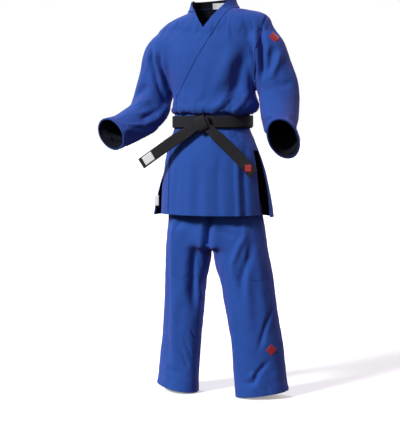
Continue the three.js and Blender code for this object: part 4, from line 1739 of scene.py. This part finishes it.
        rows = StitchRows("lapel_stitches", Finish.THREAD)
        for k in range(1, 6):
            step = LAPEL_WIDTH * k / 6
            rows.add(band.section(lapel_plane(Side.LEFT, step), lambda p: (turn.side(p) > 0) & ~on_collar(p)))
            rows.add(band.section(turn_edge.moved(step * MM), lambda p: turn.side(p) < 0))
            rows.add(band.section(self.collar_plane(k / 6), on_collar))
        rows.sew(ride)
        seams = StitchRows("body_seam_stitches", Finish.THREAD)
        seams.add(over.section(side_seam.moved(-3 * MM), lambda p: p[:, 0] > 0))
        seams.add(under.section(side_seam.moved(3 * MM)))
        seams.add(under.section(upright(0.003), lambda p: p[:, 1] > 0))
        for side in Side:
            near = over if side is Side.LEFT else under
            for inset in (3, 9):
                cut = self.armhole(side).moved(-inset * MM)
                seams.add(near.section(cut, lambda p, s=side: s.value * p[:, 0] > 0.15))
        seams.sew(ride)

    def edge_x(self) -> float:
        """X in metres of the left lapel's free edge where it runs straight down."""
        x, z = V_BOTTOM
        return (x - LAPEL_LEAN * (z - LAPEL_TURN_Z)) * MM

    def build_sleeve(self, whole: Cloth, side: Side) -> None:
        """Builds one sleeve, cut between its shoulder bend and its elbow bend.

        Args:
            whole: The surface of the whole jacket.
            side: Which sleeve.
        """
        tube = SLEEVES[side]
        word = side.word
        middle = tube.plane(2.6)
        sleeve = whole.copy().keep(lambda p: self.in_sleeve(side, p)).cut(middle)
        x, z = self.armpit[side]
        start = np.array([x * MM, 0.0, z * MM])
        end = start + np.array([0.906 * side.value, 0.0, -0.42]) * 0.06
        shoulder = Bend("jacket", f"sleeve_{word}", tuple(start), tuple(end))
        a, b = tube.sample(np.array([3.1, 4.4]))[:, :3]
        elbow = Bend(f"sleeve_{word}", f"forearm_{word}", tuple(a), tuple(b))
        upper = sleeve.copy().keep(lambda p: middle.side(p) < 0)
        lower = sleeve.copy().keep(lambda p: middle.side(p) > 0)
        sew_piece(
            f"sleeve_{word}_upper",
            upper,
            JACKET_CLOTH,
            Finish.JACKET,
            shoulder,
            (f"sleeve_head_{word}", f"sleeve_upper_{word}"),
            tube,
        )
        sew_piece(
            f"sleeve_{word}_lower",
            lower,
            JACKET_CLOTH,
            Finish.JACKET,
            elbow,
            (f"sleeve_elbow_{word}", f"sleeve_lower_{word}"),
            tube,
        )
        if side is Side.LEFT:
            sew_badge(upper, "shoulder_badge", BADGE_SIDE, shoulder)
        mouth = tube.plane(tube.last)
        fold_edge = mouth.moved(-CUFF_BAND * MM)
        fold = lower.copy().cut(fold_edge).keep(lambda p: fold_edge.side(p) > 0)
        fold = fold.raised(-JACKET_CLOTH - HEM_GAP)
        ride = Ride(f"forearm_{word}")
        sew_piece(f"cuff_{word}_fold", fold, JACKET_CLOTH, Finish.JACKET, ride, (f"cuff_fold_{word}",), tube)
        rows = StitchRows(f"cuff_{word}_stitches", Finish.THREAD)
        for inset in (4, 11, 18, CUFF_BAND - 3):
            rows.add(lower.section(mouth.moved(-inset * MM)))
        rows.sew(ride)


# ---- skirt of the jacket


@dataclass
class Skirt:
    """The jacket below the belt: crossed front flaps and a back flap, open at the sides."""

    vent_top: float = -104.0
    front_side_y: float = -34.0
    back_side_y: float = 2.0
    lapel_seam_x: float = -135.0
    under_edge_x: float = 75.0
    bend_top: float = -92.0
    bend_bottom: float = -200.0

    def flap(self, tube: Tube, front: bool) -> Cloth:
        """A fine half tube, wider above the vents than below them.

        Args:
            tube: The tube that the flap hangs along.
            front: Whether it is the front half.

        Returns:
            The flap, from its hem to under the belt.
        """
        t = np.linspace(0, tube.last, 150)
        slack = 0.12
        angle = np.linspace(-slack, math.pi + slack, 190)
        if front:
            angle = np.linspace(-math.pi - slack, slack, 190)
        grid = tube.skin(t, angle)
        cloth = Cloth.of(grid.reshape(-1, 3), grid_faces(len(t), len(angle), False))
        wanted = Face.FRONT if front else Face.BACK
        cloth = crease(cloth, [fold for fold in SKIRT_FOLDS if fold.face is wanted], 0.9, 5 if front else 8)
        vent = level(self.vent_top * MM)
        side_y = (self.front_side_y if front else self.back_side_y) * MM
        side = Plane((0, side_y, 0), (0, 1, 0))
        join = Plane((0, SIDE_SEAM_Y, 0), (0, 1, 0))
        sign = -1 if front else 1
        cloth.cut(vent, side, join)
        return cloth.keep(
            lambda p: np.where(vent.side(p) > 0, sign * join.side(p) > 0, sign * side.side(p) > 0)
        )

    def carrier(self, body: str) -> Bend:
        """The bend between the jacket and a flap."""
        return Bend("jacket", body, (0, 0, self.bend_top * MM), (0, 0, self.bend_bottom * MM))

    def build(self) -> None:
        """Builds the flaps with their hems and stitches."""
        front = self.flap(SKIRT_FRONT, True)
        hang = self.carrier("skirt_front")
        seam_x, edge_x = self.lapel_seam_x * MM, (self.lapel_seam_x - LAPEL_WIDTH) * MM
        cuts = [upright(x) for x in (seam_x, edge_x, self.under_edge_x * MM)]
        front.cut(*cuts)
        outer = front.copy().keep(lambda p: p[:, 0] > edge_x).raised(JACKET_CLOTH + LAYER_GAP)
        over_piece = sew_piece(
            "skirt_front_over",
            outer,
            JACKET_CLOTH,
            Finish.SKIRT,
            hang,
            ("skirt_waist_front", "skirt_front_left"),
            SKIRT_FRONT,
        )
        inner = front.copy().keep(lambda p: p[:, 0] < self.under_edge_x * MM)
        under_piece = sew_piece(
            "skirt_front_under",
            inner,
            JACKET_CLOTH,
            Finish.SKIRT,
            hang,
            ("skirt_front_right",),
            SKIRT_FRONT,
        )
        band = front.copy().keep(lambda p: (p[:, 0] > edge_x) & (p[:, 0] < seam_x))
        band = band.raised(JACKET_CLOTH + LAYER_GAP + 2.2)
        sew_piece("skirt_lapel", band, 2.0, Finish.SKIRT, hang, ("lapel_left_lower",), SKIRT_FRONT)
        back = self.flap(SKIRT_BACK, False)
        rear = self.carrier("skirt_back")
        back_piece = sew_piece(
            "skirt_back_flap",
            back,
            JACKET_CLOTH,
            Finish.SKIRT,
            rear,
            ("skirt_waist_back", "skirt_back"),
            SKIRT_BACK,
        )
        for name, flap, tube, node, ride in (
            ("skirt_front_hem", outer, SKIRT_FRONT, "skirt_front_hem_fold", Ride("skirt_front")),
            ("skirt_back_hem", back, SKIRT_BACK, "skirt_back_hem_fold", Ride("skirt_back")),
        ):
            low = float(tube.rows[1, 2])
            top = level(low + JACKET_HEM_BAND * MM)
            depth = 2 * JACKET_CLOTH + HEM_GAP if flap is outer else JACKET_CLOTH
            fold = flap.copy().cut(top).keep(lambda p, cut=top: cut.side(p) < 0).raised(-depth - HEM_GAP)
            sew_piece(name, fold, JACKET_CLOTH, Finish.SKIRT, ride, (node,), tube)
            rows = StitchRows(f"{name}_stitches", Finish.THREAD)
            for rise in (4, JACKET_HEM_BAND - 3):
                rows.add(flap.section(level(low + rise * MM)))
            rows.sew(ride)
        rows = StitchRows("skirt_lapel_stitches", Finish.THREAD)
        for k in range(1, 6):
            x = edge_x + LAPEL_WIDTH * MM * k / 6
            rows.add(band.section(upright(x)))
        rows.sew(hang)


# ---- trousers


@dataclass
class Trousers:
    """The trousers: two halves sewn at the middle, each cut between its hip bend and its knee bend."""

    mesh_size: float = 8.0
    split: float = -570.0
    hip_bend: tuple[float, float] = (-440.0, -555.0)
    knee_bend: tuple[float, float] = (-600.0, -700.0)
    band_top: float = 16.0
    band_bottom: float = -22.0
    crotch_z: float = -445.0
    crotch_reach: float = 55.0
    slack: float = 0.025
    slack_cap: float = 10.0
    loose_hold: float = 0.02
    waist_hold_z: float = -120.0
    waist_fade: float = 80.0
    hem_hold: float = 0.08
    hem_hold_z: float = -972.0

    def hem(self, side: Side) -> Plane:
        """The plane of a leg's hem, looking up."""
        row = LEGS[side].sample(0)[0]
        across, deep, _ = LEGS[side].axes(0)
        return Plane(tuple(row[:3]), tuple(np.cross(across[0], deep[0])))

    def surface(self) -> Cloth:
        """The creased surface of the trousers, open at the waist and the hems."""
        solids = [HIPS.solid(96, 50, 0.0, 0.03), *(LEGS[side].solid(72, 70, 0.03, 0.0) for side in Side)]
        form = fuse("trouser_form", solids, self.mesh_size, 6)
        held = np.full(len(form.mesh.verts), self.loose_hold)
        heights = form.points()[:, 2]
        rise = (heights - self.waist_hold_z * MM) / (self.waist_fade * MM)
        held = np.maximum(held, np.clip(rise, 0, 1))
        held[heights < self.hem_hold_z * MM] = self.hem_hold
        cloth = refine(settle(form, held, self.slack, self.slack_cap))
        cloth = crease(cloth.smoothed(self.crotch_z, self.crotch_reach, 14), TROUSER_FOLDS, 1.2, 7)
        top = level(self.band_top * MM)
        split = level(self.split * MM)
        middle = upright(0)
        hems = [self.hem(side) for side in Side]
        cloth.cut(top, split, middle, *hems)

        def inside(p: Array) -> Array:
            """Whether faces are left once the ends are cut off."""
            kept = top.side(p) < 0
            for side, hem in zip(Side, hems):
                kept &= ~((hem.side(p) < 0) & (side.value * p[:, 0] > 0) & (p[:, 2] < -0.8))
            return kept

        return cloth.keep(inside)

    def build(self) -> None:
        """Builds the waistband and both halves with their hems and stitches."""
        whole = self.surface()
        band_low = level(self.band_bottom * MM)
        band = whole.copy().cut(band_low).keep(lambda p: band_low.side(p) > 0).raised(-0.2)
        ride = Ride("trousers")
        sew_piece("waistband_casing", band, 2 * TROUSER_CLOTH, Finish.TROUSERS, ride, ("waistband",), HIPS)
        for side in Side:
            self.build_leg(whole, side)

    def build_leg(self, whole: Cloth, side: Side) -> None:
        """Builds one half of the trousers.

        Args:
            whole: The surface of the trousers.
            side: Which half.
        """
        word, tube = side.word, LEGS[side]
        split = self.split * MM
        half = whole.copy().keep(lambda p: side.value * p[:, 0] > 0)
        upper = half.copy().keep(lambda p: (p[:, 2] > split) & (p[:, 2] < self.band_bottom * MM))
        lower = half.copy().keep(lambda p: p[:, 2] < split)
        hip, knee = (
            [(0.0, 0.0, z * MM) for z in bend] for bend in (self.hip_bend, self.knee_bend)
        )
        thigh = Bend("trousers", f"leg_{word}", *hip)
        shin = Bend(f"leg_{word}", f"shin_{word}", *knee)
        sew_piece(
            f"trouser_{word}_upper",
            upper,
            TROUSER_CLOTH,
            Finish.TROUSERS,
            thigh,
            (f"trouser_seat_{word}", f"leg_crease_{word}", f"leg_upper_{word}"),
            tube,
        )
        sew_piece(
            f"trouser_{word}_lower",
            lower,
            TROUSER_CLOTH,
            Finish.TROUSERS,
            shin,
            (f"leg_knee_{word}", f"leg_lower_{word}"),
            tube,
        )
        if side is Side.LEFT:
            sew_badge(lower, "leg_badge", BADGE_SIDE, shin)
        hem = self.hem(side)
        top = hem.moved(TROUSER_HEM_BAND * MM)
        fold = lower.copy().cut(top).keep(lambda p: top.side(p) < 0).raised(-TROUSER_CLOTH - HEM_GAP)
        ride = Ride(f"shin_{word}")
        nodes = (f"leg_hem_fold_{word}",)
        sew_piece(f"hem_{word}_fold", fold, TROUSER_CLOTH, Finish.TROUSERS, ride, nodes, tube)
        rows = StitchRows(f"hem_{word}_stitches", Finish.LEG_THREAD)
        for rise in (4, TROUSER_HEM_BAND - 3):
            rows.add(lower.section(hem.moved(rise * MM)))
        rows.sew(ride)


# ---- belt


class Webbing:
    """Flat belt webbing with stitched channels, swept along a line."""

    def __init__(self, channels: int = 8) -> None:
        """Keeps the number of stitched channels.

        Args:
            channels: Number of channels across the band.
        """
        self.channels = channels

    def profile(self, width: float, thickness: float) -> Array:
        """The cross-section as across and outward distances, once round.

        Args:
            width: Width of the band.
            thickness: Thickness of the band.

        Returns:
            An array of rows of two distances.
        """
        across = np.linspace(-1, 1, 4 * self.channels + 1)
        wave = np.abs(np.sin(np.pi * (across + 1) / 2 * self.channels))
        edge = np.sqrt(np.clip(1 - np.abs(across) ** 14, 0, 1))
        face = thickness / 2 * edge * (0.86 + 0.14 * wave)
        front = np.stack([across * width / 2, face], 1)
        back = np.stack([across[::-1] * width / 2, -face[::-1]], 1)
        return np.concatenate([front, back[1:-1]])

    def sweep(
        self,
        path: Array,
        facing: Array,
        width: float | Array,
        thickness: float,
        closed: bool,
    ) -> Solid:
        """Sweeps the band along a path.

        Args:
            path: Points of the middle line, in metres.
            facing: Outward direction at each point.
            width: Width of the band, in metres, or one width for each point.
            thickness: Thickness of the band, in metres.
            closed: Whether the band is a loop.

        Returns:
            Vertices and faces.
        """
        if closed:
            run = np.roll(path, -1, 0) - np.roll(path, 1, 0)
        else:
            run = np.gradient(path, axis=0)
        run /= np.linalg.norm(run, axis=1)[:, None]
        out = facing - run * (facing * run).sum(1)[:, None]
        out /= np.linalg.norm(out, axis=1)[:, None]
        side = np.cross(out, run)
        widths = np.broadcast_to(width, len(path))
        rings = []
        for point, outward, across, wide in zip(path, out, side, widths):
            shape = self.profile(wide, thickness)
            rings.append(point + shape[:, :1] * across + shape[:, 1:] * outward)
        rings = np.array(rings)
        count = rings.shape[1]
        faces = grid_faces(len(rings), count, True)
        if closed:
            last = (len(rings) - 1) * count
            faces += [[last + j, last + (j + 1) % count, (j + 1) % count, j] for j in range(count)]
        else:
            faces += [list(range(count))[::-1], [(len(rings) - 1) * count + j for j in range(count)]]
        return rings.reshape(-1, 3), faces


@dataclass
class Belt:
    """The belt: two turns round the waist, a flat knot, and two hanging ends."""

    inner_wide: float = 146.0
    inner_deep: float = 106.0
    step: float = 3.0
    webbing: Webbing = field(default_factory=Webbing)

    def make(self, name: str, parts: Sequence[Solid]) -> Piece:
        """Joins swept bands into one object with outward faces.

        Args:
            name: Name of the object.
            parts: Vertices and faces of each band.

        Returns:
            The object.
        """
        vertices, faces = [], []
        for points, polygons in parts:
            faces += [[i + len(vertices) for i in polygon] for polygon in polygons]
            vertices += points.tolist()
        data = bpy.data.meshes.new(name)
        data.from_pydata(vertices, [], faces)
        mesh = bmesh.new()
        mesh.from_mesh(data)
        bmesh.ops.recalc_face_normals(mesh, faces=mesh.faces)
        mesh.to_mesh(data)
        mesh.free()
        map_cloth(data, None)
        data.shade_smooth()
        piece = put(name, data)
        return piece

    def turn(self, offset: float, rise: float, wander: float, phase: float) -> Solid:
        """One turn of the belt round the waist.

        Args:
            offset: Distance outside the inner turn's back face, in millimetres.
            rise: Height of its middle line, in millimetres.
            wander: How far the line rises and falls, in millimetres.
            phase: Where it rises, as an angle.

        Returns:
            Vertices and faces.
        """
        angle = np.linspace(0, 2 * math.pi, 220, endpoint=False)
        wide = self.inner_wide + offset + BELT_CLOTH / 2
        deep = self.inner_deep + offset + BELT_CLOTH / 2
        height = rise + wander * np.sin(angle + phase) + 0.5 * wander * np.sin(3 * angle + phase)
        path = np.stack([wide * np.cos(angle), deep * np.sin(angle), height], 1) * MM
        facing = np.stack([np.cos(angle) / wide, np.sin(angle) / deep, 0 * angle], 1)
        return self.webbing.sweep(path, facing, BELT_WIDTH * MM, BELT_CLOTH * MM, True)

    def loop(
        self, middle: Vector, half: tuple[float, float], lean: float, width: float
    ) -> Solid:
        """A loop of the knot, pressed flat.

        Args:
            middle: The knot's middle in metres.
            half: Half length and half depth of the loop, in millimetres.
            lean: Turn of the loop about Y from upright, in degrees.
            width: Width of the pinched band, in millimetres.

        Returns:
            Vertices and faces.
        """
        angle = np.linspace(0, 2 * math.pi, 48, endpoint=False)
        squared = np.abs(np.cos(angle)) ** 0.7 * np.sign(np.cos(angle))
        along, depth = half[0] * squared, -half[1] * np.sin(angle)
        turn = math.radians(lean)
        path = np.stack([along * math.sin(turn), depth, along * math.cos(turn)], 1) * MM + np.array(middle)
        out = np.stack(
            [np.cos(angle) * math.sin(turn), -np.sin(angle) * 2.2, np.cos(angle) * math.cos(turn)], 1
        )
        return self.webbing.sweep(path, out, width * MM, BELT_CLOTH * MM, True)

    def build(self) -> None:
        """Builds the turns, the knot, the ends and what is sewn on them."""
        ride = Ride("jacket")
        inner = self.make("belt_inner_wrap", [self.turn(0, -self.step / 2, 0.4, 0)])
        place_piece(inner, Finish.BELT, ride, ("belt_turn_inner",))
        outer = self.make("belt_outer_wrap", [self.turn(BELT_CLOTH + 0.4, self.step / 2, 1.2, 1.0)])
        place_piece(outer, Finish.BELT, ride, ("belt_turn_outer",))
        low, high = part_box("belt_knot")
        middle = (low + high) / 2
        size = (high - low) / MM
        knot = self.make(
            "belt_tied_knot",
            [
                self.loop(middle + Vector((0, 0.002, 0)), (size.x / 2 - 1, size.y / 2 - 4), 78, 41),
                self.loop(middle, (size.z / 2 - 2, size.y / 2 - 2), -24, 40),
            ],
        )
        place_piece(knot, Finish.BELT, ride, ("belt_knot",))
        self.build_end(Side.RIGHT, middle, (-8, -2, -2), (-0.843, 0, -0.538), 268)
        self.build_end(Side.LEFT, middle, (8, -2, 0), (0.7, 0.12, -0.704), 254)

    def build_end(self, side: Side, middle: Vector, root: Point, run: Point, length: float) -> None:
        """Builds one hanging end with its label or badge.

        Args:
            side: Which end.
            middle: The knot's middle in metres.
            root: Start of the end from the knot's middle, in millimetres.
            run: Direction of the end.
            length: Length of the end in millimetres.
        """
        word = side.word
        ride = Ride(f"belt_end_{word}")
        direction = np.array(run) / np.linalg.norm(run)
        start = np.array(middle) + np.array(root) * MM
        s = np.linspace(20, length, 90)
        facing = np.array([0, -1.0, 0]) - direction * -direction[1]
        facing /= np.linalg.norm(facing)
        across = np.cross(facing, direction)
        ease = np.clip((s - 20) / (length - 20), 0, 1)
        bow = 3.0 * np.sin(math.pi * ease) * (1 if side is Side.LEFT else -1)
        swell = 1.5 * np.sin(2.2 * math.pi * ease)
        path = start + (s[:, None] * direction + bow[:, None] * across + swell[:, None] * facing) * MM
        pinch = np.clip((s - 20) / 55, 0, 1)
        width = (BELT_WIDTH * (0.74 + 0.26 * pinch**0.8)) * MM
        facings = np.tile(facing, (len(s), 1))
        tail = self.make(
            f"belt_end_{word}", [self.webbing.sweep(path, facings, width, BELT_CLOTH * MM, False)]
        )
        place_piece(tail, Finish.BELT, ride, (f"belt_tail_{word}",))
        label = side is Side.RIGHT
        long, wide = (44, 33) if label else (34, 34)
        near = (s > length - 12 - long) & (s < length - 12)
        spot = path[near] + facing * (BELT_CLOTH / 2 + 0.5) * MM
        name = "belt_label" if label else "belt_badge"
        patch = self.sew_patch(name, spot, across, facing, wide, not label, ride)

    def sew_patch(
        self,
        name: str,
        spot: Array,
        across: Array,
        facing: Array,
        wide: float,
        diamond: bool,
        ride: Ride,
    ) -> Piece:
        """Builds a label or a badge on a belt end.

        Args:
            name: Name of its CAD node.
            spot: Points of its middle line, in metres.
            across: Direction of its width.
            facing: Direction that it faces.
            wide: Its width in millimetres.
            diamond: Whether it is a diamond.
            ride: The body that it moves with.

        Returns:
            The piece.
        """
        count = len(spot)
        share = np.linspace(-1, 1, count)
        half = wide / 2 * (1 - np.abs(share) * 0.97 if diamond else np.ones(count))
        columns = np.linspace(-1, 1, 9)
        grid = spot[:, None] + across * (half[:, None, None] * columns[None, :, None]) * MM
        cloth = Cloth.of(grid.reshape(-1, 3), grid_faces(count, len(columns), False))
        cloth.mesh.normal_update()
        if float(np.mean(cloth.normals() @ facing)) < 0:
            bmesh.ops.reverse_faces(cloth.mesh, faces=cloth.mesh.faces)
            cloth.mesh.normal_update()
        finish = Finish.BADGE if diamond else Finish.LABEL
        return sew_piece(f"{name}_patch", cloth.raised(0.4), 0.8, finish, ride, (name,))


# ---- stage


@dataclass(frozen=True)
class Lamp:
    """A soft, far light; swing is its angle to the right of the camera, and rise is its height."""

    name: str
    swing: float
    rise: float
    power: float
    softness: float
    colour: str


@dataclass
class Studio:
    """A pale floor, soft lights and the camera."""

    azimuth: float = 20.0
    distance: float = 4.5
    lens: float = 110.66
    pitch: float = 3.03
    sensor_width: float = 36.0
    shift: tuple[float, float] = (-0.0315, -0.07)
    floor_radius: float = 60.0
    ambient: float = 0.09
    lamps: tuple[Lamp, ...] = (
        Lamp("key", -52, 36, 4.1, 14, "f2fcff"),
        Lamp("front", -5, 25, 0.25, 40, "e6e0ff"),
        Lamp("fill", 50, 12, 0.4, 60, "ff7088"),
        Lamp("side", 128, 25, 1.5, 40, "fff0f6"),
        Lamp("back", -142, 28, 1.9, 30, "f4f8ff"),
    )

    def build(self, floor_z: float) -> None:
        """Builds the stage.

        Args:
            floor_z: Height of the floor in metres.
        """
        scene = bpy.context.scene
        scene.view_settings.view_transform = "Standard"
        turn = math.radians(self.azimuth)
        away = Vector((math.sin(turn), -math.cos(turn), 0))
        right = Vector((math.cos(turn), math.sin(turn), 0))
        data = bpy.data.cameras.new("camera")
        data.sensor_fit = "HORIZONTAL"
        data.sensor_width = self.sensor_width
        data.lens = self.lens
        data.shift_x, data.shift_y = self.shift
        camera = bpy.data.objects.new("camera", data)
        camera.location = away * self.distance
        look = -away + Vector((0, 0, -math.tan(math.radians(self.pitch))))
        camera.rotation_mode = "QUATERNION"
        camera.rotation_quaternion = look.to_track_quat("-Z", "Y")
        scene.collection.objects.link(camera)
        scene.camera = camera
        for lamp in self.lamps:
            light = bpy.data.lights.new(lamp.name, "SUN")
            light.energy = lamp.power
            light.angle = math.radians(lamp.softness)
            light.color = srgb(lamp.colour)[:3]
            shining = bpy.data.objects.new(lamp.name, light)
            swing, rise = math.radians(lamp.swing), math.radians(lamp.rise)
            source = away * math.cos(swing) + right * math.sin(swing) + Vector((0, 0, math.tan(rise)))
            shining.rotation_mode = "QUATERNION"
            shining.rotation_quaternion = (-source).to_track_quat("-Z", "Y")
            scene.collection.objects.link(shining)
        world = bpy.data.worlds.new("studio")
        world.use_nodes = True
        tree = world.node_tree
        soft = tree.nodes["Background"]
        soft.inputs["Strength"].default_value = self.ambient
        soft.inputs["Color"].default_value = (1, 1, 1, 1)
        paper = add_node(tree, "ShaderNodeBackground", Color=(1, 1, 1, 1), Strength=1.0)
        seen = add_node(tree, "ShaderNodeLightPath").outputs["Is Camera Ray"]
        both = add_node(tree, "ShaderNodeMixShader", Fac=seen)
        tree.links.new(soft.outputs[0], both.inputs[1])
        tree.links.new(paper.outputs[0], both.inputs[2])
        tree.links.new(both.outputs[0], tree.nodes["World Output"].inputs["Surface"])
        scene.world = world
        angle = np.linspace(0, 2 * math.pi, 96, endpoint=False)
        ring = [(self.floor_radius * math.cos(a), self.floor_radius * math.sin(a), floor_z) for a in angle]
        floor = bpy.data.meshes.new("floor")
        floor.from_pydata(ring, [], [list(range(len(ring)))])
        paint = bpy.data.materials.new("pale_floor")
        paint.use_nodes = True
        shader = paint.node_tree.nodes["Principled BSDF"]
        shader.inputs["Base Color"].default_value = srgb("f2f2f2")
        shader.inputs["Roughness"].default_value = 0.9
        shader.inputs["Emission Color"].default_value = srgb("ffffff")
        shader.inputs["Emission Strength"].default_value = 0.3
        floor.materials.append(paint)
        ground = put("floor", floor)
        ground.visible_diffuse = ground.visible_glossy = False
        ground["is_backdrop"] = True


def sew_side_label() -> Piece:
    """Sews the label in at the front edge of the back flap, where it curls round to the front.

    Returns:
        The piece.
    """
    low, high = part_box("side_label")
    outer, edge = low.x / MM - 1.5, low.y / MM
    curl = [(outer, edge + 12), (outer - 1.5, edge + 3), (outer + 2, edge - 5), (outer + 9, edge - 8)]
    curl.append((outer + 20, edge - 8))
    line = np.array(curl)
    fine = np.stack([np.interp(np.linspace(0, 4, 25), range(5), line[:, k]) for k in range(2)], 1)
    for _ in range(6):
        fine[1:-1] = (fine[:-2] + 2 * fine[1:-1] + fine[2:]) / 4
    heights = np.linspace(low.z, high.z, 9)
    grid = [[(x * MM, y * MM, z) for z in heights] for x, y in fine]
    cloth = Cloth.of(np.array(grid).reshape(-1, 3), grid_faces(len(fine), len(heights), False))
    if cloth.normals()[:, 1].mean() > 0:
        bmesh.ops.reverse_faces(cloth.mesh, faces=cloth.mesh.faces)
        cloth.mesh.normal_update()
    return sew_piece("side_label_tab", cloth, 0.8, Finish.LABEL, Ride("skirt_back"), ("side_label",))


def show_cad_node(frame: dict, name: str, finish: Finish) -> None:
    """Keeps a CAD node as it is, with a better finish.

    Args:
        frame: The loaded frame.
        name: The node's name.
        finish: Its finish.
    """
    node = frame["nodes"][name]
    node.data.materials.clear()
    node.data.materials.append(finish.material())


def main(frame: dict) -> None:
    """Builds the uniform around the frame.

    Args:
        frame: The loaded frame.
    """
    logging.basicConfig(level=logging.INFO, format="%(message)s")
    low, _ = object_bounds()
    Studio().build(low.z - 0.002)
    Jacket().build()
    Skirt().build()
    Trousers().build()
    Belt().build()
    sew_side_label()
    show_cad_node(frame, "neck_label", Finish.LABEL)


if __name__ == "__main__":
    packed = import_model()
    main(packed)
